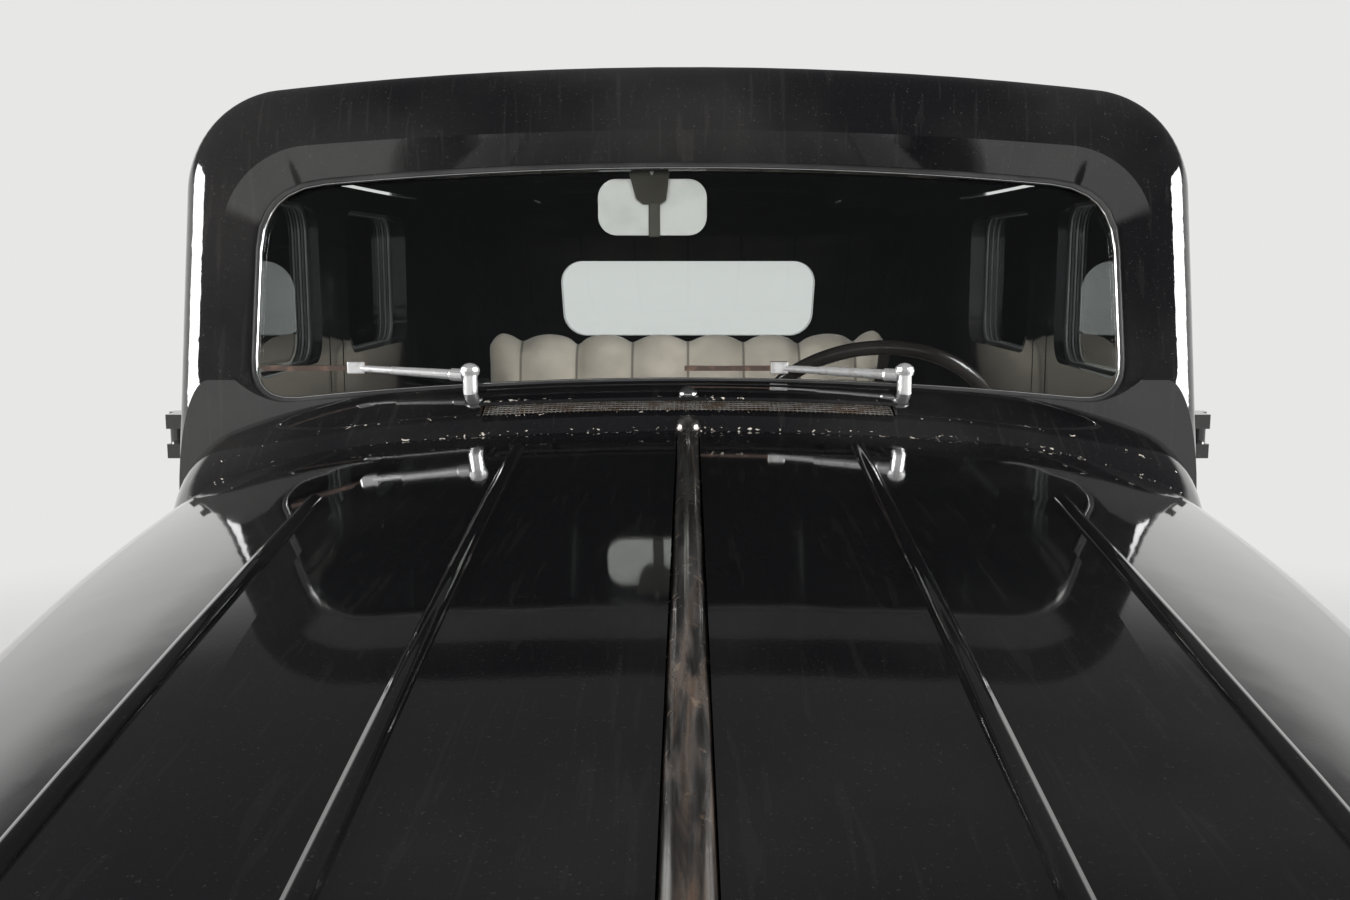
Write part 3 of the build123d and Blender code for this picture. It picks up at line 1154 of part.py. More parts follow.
# Dashboard, seats and the front seat's base
dashboard = inner_form & block(everywhere, DASH_Y, DASH_Z)
seat_base = block(
    (-FRONT_SEAT_HALF_WIDTH, FRONT_SEAT_HALF_WIDTH),
    (FRONT_SEAT_Y[0] + SEAT_BASE_INSET, FRONT_SEAT_Y[1] - SEAT_BASE_INSET), (FLOOR_Z, SEAT_BASE_Z)
)


def bench(half_width, y_range, base_z, cushion_z, back_top_z, back_thickness, rake):
    """Bench seat: cushion and raked back as one soft form in side view."""
    front, rear = y_range
    lean = rake * (back_top_z - cushion_z)
    outline = make_face(Polyline(
        (front, base_z), (front, cushion_z), (rear - back_thickness, cushion_z),
        (rear - back_thickness + lean, back_top_z), (rear + lean, back_top_z), (rear, base_z), close=True,
    ))
    outline = fillet(outline.vertices().sort_by(Axis.Y)[2:], BENCH_ROUND)
    return across(outline, -half_width, half_width)


front_seat = bench(
    FRONT_SEAT_HALF_WIDTH, FRONT_SEAT_Y, SEAT_BASE_Z, FRONT_CUSHION_Z, FRONT_BACK_Z, BENCH_BACK,
    BENCH_RAKE
)
rear_seat = bench(
    REAR_SEAT_HALF_WIDTH, REAR_SEAT_Y, REAR_FLOOR_Z, REAR_CUSHION_Z, REAR_BACK_Z, BENCH_BACK, BENCH_RAKE
)

# Steering column and wheel
tilt = math.radians(STEERING_TILT)
column_axis = Vector(0, math.cos(tilt), math.sin(tilt))
steering_plane = Plane(origin=(STEERING_X, *STEERING_CENTRE), x_dir=(1, 0, 0), z_dir=column_axis)
hub_low = steering_plane.origin - column_axis * STEERING_HUB_LENGTH
column_reach = (hub_low.Y - (COWL_FRONT_Y + FIREWALL_THICKNESS)) / column_axis.Y
column_foot = hub_low - column_axis * column_reach
column_top = hub_low - column_axis * HINGE_FACE_GAP
steering_column = rod(column_foot, column_top, COLUMN_RADIUS) + rod(
    column_top, steering_plane.origin - column_axis * STEERING_RIM_THICKNESS, SPIGOT_RADIUS
)
steering_column &= block((0, FAR), (COWL_FRONT_Y + FIREWALL_THICKNESS, FAR), (0, FAR))
hanger_y = sum(DASH_Y) / 2
hanger_z = hub_low.Z - (hub_low.Y - hanger_y) * math.tan(tilt)
steering_column += block(
    (STEERING_X - COLUMN_RADIUS / 2, STEERING_X + COLUMN_RADIUS / 2),
    (hanger_y - COLUMN_RADIUS, hanger_y + COLUMN_RADIUS), (hanger_z, DASH_Z[0])
)
rim = Torus(STEERING_RIM_RADIUS, STEERING_RIM_THICKNESS)
steering_wheel = rim + Pos(0, 0, -STEERING_HUB_LENGTH / 2) * Cylinder(
    STEERING_HUB_RADIUS, STEERING_HUB_LENGTH
)
for angle in SPOKE_ANGLES:
    spoke = Pos(STEERING_RIM_RADIUS / 2, 0, -STEERING_RIM_THICKNESS / 2) * Box(
        STEERING_RIM_RADIUS, SPOKE_WIDTH, SPOKE_THICKNESS
    )
    steering_wheel += Rot(0, 0, angle) * spoke
steering_wheel = steering_plane * steering_wheel
steering_wheel -= rod(
    hub_low - column_axis * PLATE_THICKNESS,
    steering_plane.origin - column_axis * (STEERING_RIM_THICKNESS - HINGE_FACE_GAP),
    SPIGOT_RADIUS + PIN_CLEARANCE
)

# Inside mirror on its stem, wipers on their posts
mirror_x, mirror_y, mirror_z = MIRROR_PLACE
mirror_top = windshield_plane(COWL_WALL).from_local_coords((mirror_x, MIRROR_SEAT_RISE, 0))
mirror_glass = Pos(*MIRROR_PLACE) * Rot(90, 0, 0) * extrude(
    RectangleRounded(MIRROR_SIZE[0], MIRROR_SIZE[1], MIRROR_SIZE[1] / 3), amount=MIRROR_SIZE[2] / 2,
    both=True
)
stem_foot = Vector(mirror_x, mirror_y, mirror_z)
mirror_stem = rod(stem_foot, mirror_top, MIRROR_STEM_RADIUS)
interior_mirror = (mirror_glass + mirror_stem) - windshield_frame - roof_panel


def wiper(pivot_x):
    """Wiper parked toward the car's right: post, tapered arm, clip and blade."""
    glass_y = windshield_plane(SURROUND_DEPTH).from_local_coords((0, WIPER_RISE, 0))
    post_z = WIPER_POST_Z
    post = Pos(pivot_x, WIPER_POST_Y, post_z) * Cylinder(WIPER_POST_RADIUS, WIPER_POST_HEIGHT)
    shaft_top = Vector(pivot_x, WIPER_POST_Y, post_z + WIPER_POST_HEIGHT / 2 - WIPER_ARM_RADIUS)
    clip = Vector(pivot_x - WIPER_ARM_LENGTH, glass_y.Y - WIPER_BLADE_DEPTH, glass_y.Z)
    arm = rod(shaft_top, clip, WIPER_ARM_RADIUS)
    blade = Pos(clip.X - WIPER_BLADE_SHIFT, glass_y.Y - WIPER_BLADE_DEPTH, glass_y.Z) * Box(
        WIPER_BLADE_LENGTH, WIPER_BLADE_DEPTH, WIPER_BLADE_HEIGHT
    )
    return post + arm + blade


wipers = Part()
for pivot_x in WIPER_PIVOTS:
    wipers += wiper(pivot_x)
cowl -= wipers
windshield_frame -= wipers

# Vent lid raised on its rear edge, and the mesh in the opening below it
vent_axis = Axis((0, VENT_Y[1], VENT_HINGE_Z), (1, 0, 0))
vent_lid = vent_closed.rotate(vent_axis, -VENT_OPEN_ANGLE)
vent_mesh = pair(hood_form(COWL_STATIONS, VENT_MESH_DEPTH, SILL_Z)) - pair(
    hood_form(COWL_STATIONS, VENT_MESH_DEPTH + VENT_LID_THICKNESS, SILL_Z)
)
vent_mesh &= block(
    (-VENT_HALF_WIDTH - VENT_GAP, VENT_HALF_WIDTH + VENT_GAP),
    (VENT_Y[0] - VENT_GAP, VENT_Y[1] + VENT_GAP), (COWL_FRONT_CROWN - COWL_WALL * 2, ROOF_TOP_Z)
)


# Everything joined to its node and written out
cowl = cowl - pair(hinges["front"][2]) + pair(hinges["front"][0])
side_frames = side_frames - pair(hinges["rear"][2]) + pair(hinges["rear"][0])
front_wheel = Pos(0, FRONT_AXLE_Y, TYRE_RADIUS)
rear_wheel = Pos(0, REAR_AXLE_Y, TYRE_RADIUS)
nodes = {
    "roof_panel": roof_panel,
    "cowl": cowl,
    "windshield_frame": windshield_frame,
    "windshield_glass": windshield_glass,
    "side_frames": side_frames,
    "rear_body": rear_body,
    "rear_glass": rear_glass,
    "floor_pan": floor_pan,
    "luggage_lid": luggage_lid,
    "vent_lid": vent_lid,
    "vent_mesh": vent_mesh,
    "hood_left": hood_half,
    "hood_right": right_hand(hood_half),
    "hood_sides": pair(hood_side),
    "hood_rod": hood_rod,
    "radiator_shell": radiator_shell,
    "grille": grille,
    "radiator_core": radiator_core,
    "front_fenders": pair(front_fender),
    "rear_fenders": pair(rear_fender),
    "running_boards": pair(running_board),
    "bumpers": bumpers,
    "headlamps": pair(headlamp),
    "headlamp_lenses": pair(headlamp_lens),
    "tail_lamps": pair(tail_lamp),
    "chassis": chassis,
    "front_axle": front_axle,
    "rear_axle": rear_axle,
    "leaf_springs": pair(front_spring) + pair(rear_spring),
    "knuckle_left": knuckle,
    "knuckle_right": right_hand(knuckle),
    "engine_block": engine_block,
    "driveline": driveline,
    "exhaust": exhaust,
    "fuel_tank": fuel_tank,
    "dashboard": dashboard,
    "front_seat_base": seat_base,
    "front_seat": front_seat,
    "rear_seat": rear_seat,
    "steering_column": steering_column,
    "steering_wheel": steering_wheel,
    "interior_mirror": interior_mirror,
    "wipers": wipers,
}
for name in doors:
    door = doors[name] + hinges[name][1]
    nodes[f"door_{name}_left"] = door
    nodes[f"door_{name}_right"] = right_hand(door)
    nodes[f"glass_{name}_left"] = door_glass[name]
    nodes[f"glass_{name}_right"] = right_hand(door_glass[name])
for end, place in (("front", front_wheel), ("rear", rear_wheel)):
    nodes[f"wheel_{end}_left"] = place * wheel
    nodes[f"wheel_{end}_right"] = right_hand(place * wheel)
    nodes[f"tyre_{end}_left"] = place * tyre
    nodes[f"tyre_{end}_right"] = right_hand(place * tyre)

os.makedirs("parts", exist_ok=True)
for name, shape in nodes.items():
    export_step(shape, f"parts/{name}.step")
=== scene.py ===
"""Looks of a closed four-door sedan: coach paint, bright metal, glass, cloth seats and the stage."""
import math

import bmesh
import bpy
from bpy.props import FloatProperty, FloatVectorProperty, IntProperty, PointerProperty
from mathutils import Matrix, Vector


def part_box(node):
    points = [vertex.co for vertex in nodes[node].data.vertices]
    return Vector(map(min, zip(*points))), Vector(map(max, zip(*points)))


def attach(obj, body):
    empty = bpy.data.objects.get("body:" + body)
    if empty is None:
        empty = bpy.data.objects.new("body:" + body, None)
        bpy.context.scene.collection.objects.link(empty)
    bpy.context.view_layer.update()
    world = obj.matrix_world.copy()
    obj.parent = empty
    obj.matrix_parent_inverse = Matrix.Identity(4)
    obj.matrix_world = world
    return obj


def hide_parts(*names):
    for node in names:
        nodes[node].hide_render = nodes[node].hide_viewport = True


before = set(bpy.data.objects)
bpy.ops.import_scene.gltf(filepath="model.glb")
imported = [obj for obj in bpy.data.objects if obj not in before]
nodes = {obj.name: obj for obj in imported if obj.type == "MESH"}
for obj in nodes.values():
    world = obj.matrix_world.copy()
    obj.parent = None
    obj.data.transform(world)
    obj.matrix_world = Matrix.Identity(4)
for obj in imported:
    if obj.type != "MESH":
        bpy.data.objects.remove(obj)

bl_info = {
    "name": "Sedan Looks",
    "version": (1, 0, 0),
    "blender": (4, 5, 0),
    "location": "View3D > Sidebar > Sedan",
    "description": "Finishes, soft seats, small trim and the stage of a four-door sedan",
    "category": "Object",
}

SIDES = {"left": 1, "right": -1}
AXLE_Y = {"front": -1.450, "rear": 1.400}
WHEEL_X, WHEEL_Z = 0.695, 0.350
# Tyre section: crown and wall are arcs, given by radius and by the middle of the wall's arc (across, radius)
TYRE_RADIUS, CROWN_BEND, GROOVE_DEPTH, CUT_DEPTH = 0.350, 0.11867, 0.006, 0.0045
WALL_BEND, WALL_ACROSS, WALL_RADIUS, RING_HEIGHT = 0.11275, -0.04025, 0.275, 0.0012
# Wheels: radius of the hub cap, of the painted line and of the ring of nuts
CAP_RADIUS, LINE_RADIUS, NUT_CIRCLE = 0.101, 0.168, 0.122
# Seams that are chipped, by their place along the car
COWL_LIP_Y, HOOD_LIP_Y, VENT_BOX_Y, VENT_LID_Y = -0.338, -0.343, -0.302, -0.299
# Windshield opening: slope, middle of its foot, half width, height, bow of its top and foot, corner radii
SHIELD_SLANT, SHIELD_FOOT = math.radians(15), (0, -0.200, 1.164)
SHIELD_HALF, SHIELD_HEIGHT, SHIELD_BOW, TOP_CORNER, FOOT_CORNER = 0.622, 0.322, 0.034, 0.080, 0.055
# Pivots of the wiper arms and bosses of the door handles
WIPER_X, WIPER_Y, WIPER_Z = {"right": -0.302, "left": 0.300}, -0.232, 1.173
HANDLE_Y, HANDLE_Z = {"front": 0.440, "rear": 1.085}, 0.965
# Frames that the cloth of the seats is simulated for
STUFFING_FRAMES = 20
# Dials in the dashboard: (x, radius)
DIALS, DIAL_Z = ((0.322, 0.058), (0.150, 0.040), (0.060, 0.040)), 1.010
# Lamps of the stage: (name, place, target, size, power, spread in degrees, mirrored in paint)
LAMPS = (
    ("lamp_right", (-4.8, -0.9, 2.5), (0, 1.2, 1.1), (3.2, 2.0), 95, 90, True),
    ("lamp_left", (4.6, -0.9, 2.3), (0, 1.2, 1.1), (3.2, 2.0), 105, 90, True),
    ("lamp_top", (0, 0.6, 6.0), (0, 0.4, 1.0), (5.0, 4.0), 170, 180, False),
    ("lamp_front", (0, -7.0, 2.1), (0, 1.0, 1.1), (3.0, 1.4), 62, 60, False),
)
# Camera: place, tilt below level, and sideways shift in pixels of the photograph
CAMERA_PLACE, CAMERA_DOWN, PHOTO_WIDTH, PHOTO_SHIFT = (0, -2.000, 1.330), math.radians(8.4), 1350, -13
# Height on the sky, from 0 at eye level to 1 overhead, between which the walls turn into the ceiling
WALL_TOP, CEILING_EDGE = 0.19, 0.34
FLOOR_HALF = 60


# Sizes and colours that a user would change

def length(name, description, default, low, high):
    return FloatProperty(name=name, description=description, default=default, min=low, max=high, unit="LENGTH")


def share(name, description, default):
    return FloatProperty(name=name, description=description, default=default, min=0, max=1)


def swatch(name, description, default):
    return FloatVectorProperty(name=name, description=description, subtype="COLOR", default=default)


class SedanPaint(bpy.types.PropertyGroup):
    """Coach paint of the body."""
    colour: swatch("Paint colour", "Body colour", (0.0035, 0.0035, 0.004))
    haze: share("Haze", "Roughness of clean polished paint", 0.045)
    dust: share("Dust", "How much settled dust dulls the top", 0.5)
    primer: swatch("Chip colour", "Primer that shows in chips", (0.34, 0.31, 0.27))


class SedanCloth(bpy.types.PropertyGroup):
    """Seat cloth and its pleats."""
    colour: swatch("Cloth colour", "Main seat cloth", (0.50, 0.435, 0.37))
    pleat: length("Pleat pitch", "Width of one sewn channel", 0.147, 0.03, 0.3)
    depth: length("Pleat depth", "How deep a sewn channel is drawn in", 0.019, 0, 0.03)
    crown: length("Pleat crown", "How far the top edge drops at a seam", 0.022, 0, 0.05)
    swell: length("Swell", "Most that the stuffing lifts the cloth", 0.020, 0, 0.05)
    voxel: length("Cloth cell", "Cell of the simulated cloth", 0.016, 0.008, 0.05)


class SedanTrim(bpy.types.PropertyGroup):
    """Seals, strips, handles and small fittings."""
    seal: length("Seal radius", "Radius of the windshield rubber", 0.0052, 0.002, 0.02)
    strip: length("Strip radius", "Radius of the bright strip on the seal", 0.0013, 0.0005, 0.01)
    handle: length("Handle length", "Length of a door handle", 0.105, 0.05, 0.2)
    mesh_pitch: length("Mesh pitch", "Spacing of the wires in the ventilator screen", 0.0062, 0.003, 0.02)
    mesh_wire: length("Mesh wire", "Radius of one wire of the screen", 0.0008, 0.0003, 0.002)
    tread_blocks: IntProperty(name="Tread blocks", description="Blocks round each tyre", default=60, min=30, max=90)
    nuts: IntProperty(name="Wheel nuts", description="Nuts on each wheel", default=5, min=3, max=8)


class SedanStage(bpy.types.PropertyGroup):
    """Floor, backdrop, lamps and camera."""
    floor: swatch("Floor colour", "Colour of the floor", (0.72, 0.72, 0.71))
    backdrop: swatch("Backdrop colour", "Colour at eye level all round", (0.80, 0.80, 0.79))
    ceiling: swatch("Ceiling colour", "Colour high above the car", (0.07, 0.07, 0.072))
    lens: FloatProperty(name="Lens", description="Focal length in millimetres", default=34.1, min=10, max=200)


# Shader maths

class Wire:
    """One output of a material's node; sums and products of wires add the Math nodes they need."""

    def __init__(self, finish, socket):
        self.finish, self.socket = finish, socket

    def maths(self, operation, *others, flipped=False):
        terms = [self, *others]
        if flipped:
            terms.reverse()
        return self.finish.node("ShaderNodeMath", {"operation": operation}, dict(enumerate(terms)))["Value"]

    def __add__(self, other):
        return self.maths("ADD", other)

    def __sub__(self, other):
        return self.maths("SUBTRACT", other)

    def __mul__(self, other):
        return self.maths("MULTIPLY", other)

    def __truediv__(self, other):
        return self.maths("DIVIDE", other)

    def __rsub__(self, other):
        return self.maths("SUBTRACT", other, flipped=True)

    def __abs__(self):
        return self.maths("ABSOLUTE")

    __radd__, __rmul__ = __add__, __mul__

    def least(self, other):
        return self.maths("MINIMUM", other)

    def most(self, other):
        return self.maths("MAXIMUM", other)

    def root(self):
        return self.maths("SQRT")

    def part(self):
        return self.maths("FRACT")

    def ease(self, start, end):
        """0 below start, 1 above end and smooth between; start above end turns it round."""
        low, high = (1.0, 0.0) if start > end else (0.0, 1.0)
        return self.finish.node("ShaderNodeMapRange", {"interpolation_type": "SMOOTHSTEP"}, {
            "Value": self, "From Min": min(start, end), "From Max": max(start, end), "To Min": low, "To Max": high,
        })["Result"]


class Finish:
    """A material, or the sky, put together from nodes, with helpers for place, grain and mixing."""

    def __init__(self, name, sky=False):
        self.material = (bpy.data.worlds if sky else bpy.data.materials).new(name)
        self.material.use_nodes = True
        self.tree = self.material.node_tree
        self.tree.nodes.clear()
        self.coordinates = None

    def node(self, kind, settings=None, sockets=None):
        """Adds a node: settings are set first, then its sockets; gives its outputs by name."""
        made = self.tree.nodes.new(kind)
        for key, value in (settings or {}).items():
            setattr(made, key, value)
        for key, value in (sockets or {}).items():
            socket = made.inputs[key]
            if isinstance(value, Wire):
                self.tree.links.new(value.socket, socket)
            elif socket.type == "RGBA":
                socket.default_value = (*value, 1.0)
            else:
                socket.default_value = value
        return {output.name: Wire(self, output) for output in made.outputs if output.enabled}

    def place(self):
        """Place on the car in metres, the same in every pose."""
        if self.coordinates is None:
            self.coordinates = self.node("ShaderNodeTexCoord")["Object"]
        return self.coordinates

    def axes(self):
        split = self.node("ShaderNodeSeparateXYZ", None, {"Vector": self.place()})
        return split["X"], split["Y"], split["Z"]

    def stretched(self, scale):
        return self.node("ShaderNodeMapping", None, {"Vector": self.place(), "Scale": scale})["Vector"]

    def grain(self, scale, detail=3.0, stretch=None, distortion=0.0):
        """Noise from 0 to 1 with its cells scale to the metre."""
        where = self.stretched(stretch) if stretch else self.place()
        sockets = {"Vector": where, "Scale": scale, "Detail": detail, "Distortion": distortion}
        return self.node("ShaderNodeTexNoise", None, sockets)["Fac"]

    def mixed(self, factor, first, second):
        """Colour between two colours."""
        return self.node("ShaderNodeMix", {"data_type": "RGBA"}, {0: factor, 6: first, 7: second})["Result"]

    def bump(self, height, strength, distance):
        sockets = {"Strength": strength, "Distance": distance, "Height": height}
        return self.node("ShaderNodeBump", None, sockets)["Normal"]

    def wheel_radius(self, centre_y):
        """Distance from the axle of the wheels at centre_y."""
        _, y, z = self.axes()
        ahead, up = y - centre_y, z - WHEEL_Z
        return (ahead * ahead + up * up).root()

    def principled(self, **sockets):
        named = {key.replace("_", " "): value for key, value in sockets.items()}
        return self.node("ShaderNodeBsdfPrincipled", None, named)["BSDF"]

    def surfaced(self, **sockets):
        """Finished material of one principled surface."""
        return self.done(self.principled(**sockets))

    def done(self, surface):
        self.node("ShaderNodeOutputMaterial", None, {"Surface": surface})
        return self.material


def coach_paint(name, chips=(), dust=1.0):
    """Polished black paint with dust, hair scratches and chips along seams, given as (place, reach)."""
    look = bpy.context.scene.sedan_paint
    finish = Finish(name)
    _, along, _ = finish.axes()
    cloud = finish.grain(2.3, 4.0).ease(0.42, 0.72)
    specks = finish.grain(420.0, 2.0).ease(0.66, 0.74)
    hairs = finish.grain(9.0, 6.0, stretch=(14.0, 1.0, 1.0), distortion=0.4).ease(0.60, 0.64)
    settled = (cloud * 0.4 + specks + hairs * 0.12) * (look.dust * dust)
    colour = finish.mixed(settled.least(1.0) * 0.10, look.colour, (0.55, 0.52, 0.48))
    rough = look.haze + cloud * 0.03 * dust + hairs * 0.03 + specks * 0.15 * dust
    chipped = None
    for at, reach in chips:
        near = abs(along - at).ease(reach, reach * 0.2).ease(0.05, 0.2)
        flakes = finish.grain(120.0, 6.0, distortion=0.8) + finish.grain(9.0, 2.0) * 0.30
        loss = flakes.ease(0.785, 0.805) * near
        chipped = loss if chipped is None else chipped.most(loss)
    if chipped is not None:
        colour = finish.mixed(chipped, colour, look.primer)
        rough = rough + chipped * 0.5
    return finish.surfaced(
        Base_Color=colour, Roughness=rough, Normal=finish.bump(finish.grain(260.0, 1.0), 0.015, 0.001),
        Coat_Weight=0.6, Coat_Roughness=0.03, IOR=1.5,
    )


def bright_metal(name, colour=(0.78, 0.78, 0.77), rough=0.07, tarnish=0.25):
    """Plated metal with soft tarnish and fine pits."""
    finish = Finish(name)
    stain = finish.grain(14.0, 5.0).ease(0.50, 0.75)
    pits = finish.grain(700.0, 2.0).ease(0.66, 0.72)
    shade = finish.mixed(stain * tarnish, colour, (0.34, 0.30, 0.26))
    return finish.surfaced(
        Base_Color=shade, Metallic=1.0, Roughness=rough + stain * 0.12 + pits * 0.2,
        Normal=finish.bump(pits, 0.06, 0.0005),
    )


def worn_rod(name):
    """Plated hinge rod worn through to brown in patches."""
    finish = Finish(name)
    _, y, _ = finish.axes()
    streaks = finish.grain(30.0, 5.0, stretch=(4.0, 0.12, 4.0), distortion=0.3).ease(0.40, 0.62)
    blotches = finish.grain(42.0, 5.0, stretch=(2.2, 0.22, 2.2), distortion=0.4).ease(0.40, 0.66)
    patches = blotches * y.ease(-0.80, -1.35) * 0.7
    spots = finish.grain(90.0, 4.0).ease(0.62, 0.68)
    plate = finish.mixed(streaks, (0.16, 0.145, 0.135), (0.36, 0.35, 0.34))
    brown = finish.mixed(spots, (0.20, 0.115, 0.065), (0.34, 0.22, 0.13))
    shade = finish.mixed(patches.most(spots * 0.6), plate, brown)
    return finish.surfaced(
        Base_Color=shade, Metallic=0.95 - patches * 0.5, Roughness=0.16 + patches * 0.25 + spots * 0.2,
        Normal=finish.bump(spots + streaks * 0.3, 0.12, 0.0005), Coat_Weight=0.3,
    )


def painted(name, colour, rough=0.4, grain=60.0, relief=0.25, metallic=0.0, mottle=0.35):
    """Plain painted, cast or moulded surface with a fine grain."""
    finish = Finish(name)
    broad = finish.grain(6.0, 4.0)
    fine = finish.grain(grain, 4.0)
    light = tuple(min(1.0, channel * (1 + mottle) + 0.01) for channel in colour)
    dark = tuple(channel * (1 - mottle) for channel in colour)
    shade = finish.mixed(broad.ease(0.3, 0.7), dark, light)
    return finish.surfaced(
        Base_Color=shade, Metallic=metallic, Roughness=rough + (fine - 0.5) * 0.2,
        Normal=finish.bump(fine, relief, 0.001),
    )


def clear_glass(name, tint=(0.97, 0.985, 0.98), smears=0.5):
    """Thin flat glass: clear straight through, with a plain reflection and faint wiped smears."""
    finish = Finish(name)
    smear = finish.grain(5.0, 5.0, stretch=(1.0, 1.0, 6.0), distortion=0.8).ease(0.52, 0.85) * smears
    through = finish.node("ShaderNodeBsdfTransparent", None, {"Color": tint})["BSDF"]
    mirror = finish.principled(Base_Color=(0.9, 0.92, 0.92), Metallic=1.0, Roughness=smear * 0.12 + 0.004)
    facing = finish.node("ShaderNodeFresnel", None, {"IOR": 1.5})["Fac"]
    share_mirrored = (facing * 1.1 + smear * 0.02).least(1.0)
    return finish.done(finish.node("ShaderNodeMixShader", None, {0: share_mirrored, 1: through, 2: mirror})["Shader"])


def lamp_glass(name):
    """Pressed lamp lens with upright flutes."""
    finish = Finish(name)
    x, _, _ = finish.axes()
    flutes = abs((x * 90.0).part() - 0.5)
    return finish.surfaced(
        Base_Color=finish.mixed(flutes * 2.0, (0.46, 0.48, 0.48), (0.17, 0.19, 0.20)),
        Roughness=0.06 + flutes * 0.05, Metallic=0.75, Coat_Weight=1.0, Normal=finish.bump(flutes, 0.8, 0.004),
    )


def tyre_rubber(name, centre_y):
    """Matt rubber, dusty on the wall and worn darker on the tread."""
    finish = Finish(name)
    worn = finish.wheel_radius(centre_y).ease(TYRE_RADIUS - 0.009, TYRE_RADIUS - 0.003)
    dust = finish.grain(16.0, 5.0).ease(0.45, 0.75) * (1 - worn * 0.6)
    return finish.surfaced(
        Base_Color=finish.mixed(dust * 0.4, (0.018, 0.018, 0.019), (0.09, 0.082, 0.072)),
        Roughness=0.72 + dust * 0.15, Normal=finish.bump(finish.grain(350.0, 2.0), 0.3, 0.001),
    )


def wheel_paint(name, centre_y):
    """Black pressed wheel with a bright hub cap and a fine line round the disc."""
    finish = Finish(name)
    x, _, _ = finish.axes()
    radius, out = finish.wheel_radius(centre_y), abs(x) - WHEEL_X
    cap = radius.ease(CAP_RADIUS + 0.0005, CAP_RADIUS - 0.0005) * out.ease(0.044, 0.047)
    line = abs(radius - LINE_RADIUS).ease(0.0022, 0.0014) * out.ease(0.012, 0.016)
    dust = finish.grain(20.0, 5.0).ease(0.5, 0.8)
    ground = finish.mixed(dust * 0.12, (0.006, 0.006, 0.007), (0.30, 0.26, 0.22))
    lined = finish.mixed(line, ground, (0.62, 0.58, 0.48))
    shade = finish.mixed(cap, lined, (0.78, 0.78, 0.77))
    return finish.surfaced(
        Base_Color=shade, Metallic=cap, Roughness=0.16 - cap * 0.09 + dust * 0.2, Coat_Weight=0.5,
        Normal=finish.bump(finish.grain(300.0, 1.0), 0.02, 0.001),
    )


def seat_cloth(name):
    """Ribbed wool cloth in greyish beige, rubbed paler where it is sat on, with painted shade and dirt darkening each
    sewn channel.
    """
    look = bpy.context.scene.sedan_cloth
    finish = Finish(name)
    x, y, z = finish.axes()
    warp = abs((x * 260.0).part() - 0.5)
    weft = abs(((y + z) * 320.0).part() - 0.5)
    weave = warp.most(weft)
    rubbed = finish.grain(9.0, 5.0).ease(0.35, 0.75)
    flecks = finish.grain(900.0, 2.0).ease(0.55, 0.68)
    dark = tuple(channel * 0.78 for channel in look.colour)
    light = tuple(min(1.0, channel * 1.16) for channel in look.colour)
    shade = finish.mixed(rubbed * 0.7 + flecks * 0.2, dark, light)
    # Painted shade, partly dirt: the colour drops to a near-black line along each sewn channel of the pleats
    channel_shade_and_dirt = abs((x * (1 / look.pleat) + 0.5).part() - 0.5).ease(0.035, 0.008)
    shade = finish.mixed(channel_shade_and_dirt * 0.75, shade, tuple(channel * 0.12 for channel in look.colour))
    return finish.surfaced(
        Base_Color=shade, Roughness=0.86 + weave * 0.1, Sheen_Weight=0.25, Sheen_Roughness=0.5,
        Normal=finish.bump(weave + flecks * 0.4, 0.35, 0.0012),
    )


def mesh_wire(name):
    """Dull woven wire with brown tarnish."""
    finish = Finish(name)
    tarnish = finish.grain(45.0, 4.0).ease(0.4, 0.65)
    shade = finish.mixed(tarnish, (0.30, 0.285, 0.265), (0.19, 0.145, 0.11))
    return finish.surfaced(Base_Color=shade, Metallic=0.35, Roughness=0.4 + tarnish * 0.2)


def board_rubber(name):
    """Running board: ribbed rubber mat on top between painted edges."""
    finish = Finish(name)
    x, _, z = finish.axes()
    top = z.ease(0.343, 0.3445) * abs(x).ease(0.712, 0.714) * abs(x).ease(0.828, 0.826)
    ribs = abs((x * 70.0).part() - 0.5).ease(0.2, 0.35)
    dust = finish.grain(12.0, 5.0).ease(0.4, 0.75)
    shade = finish.mixed(top * (0.3 + dust * 0.5), (0.005, 0.005, 0.006), (0.11, 0.10, 0.09))
    return finish.surfaced(
        Base_Color=shade, Roughness=0.08 + top * (0.5 + dust * 0.15), Coat_Weight=1 - top,
        Normal=finish.bump(ribs * top, 0.6, 0.003),
    )


def tail_lamp_finish(name):
    """Black lamp body with a ribbed red glass in its rear face."""
    finish = Finish(name)
    _, y, z = finish.axes()
    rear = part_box("tail_lamps")[1][1]
    glass = y.ease(rear - 0.016, rear - 0.014)
    ribs = abs((z * 120.0).part() - 0.5)
    return finish.surfaced(
        Base_Color=finish.mixed(glass, (0.005, 0.005, 0.006), (0.36, 0.006, 0.005)),
        Roughness=0.07 + ribs * glass * 0.1, Coat_Weight=0.8, Normal=finish.bump(ribs * glass, 0.4, 0.002),
    )


def mirror_finish(name):
    """Back of the interior mirror: pale enamel, a little soiled."""
    finish = Finish(name)
    soil = finish.grain(22.0, 4.0).ease(0.35, 0.8)
    shade = finish.mixed(soil, (0.56, 0.55, 0.53), (0.46, 0.45, 0.43))
    return finish.surfaced(Base_Color=shade, Roughness=0.34 + soil * 0.08)


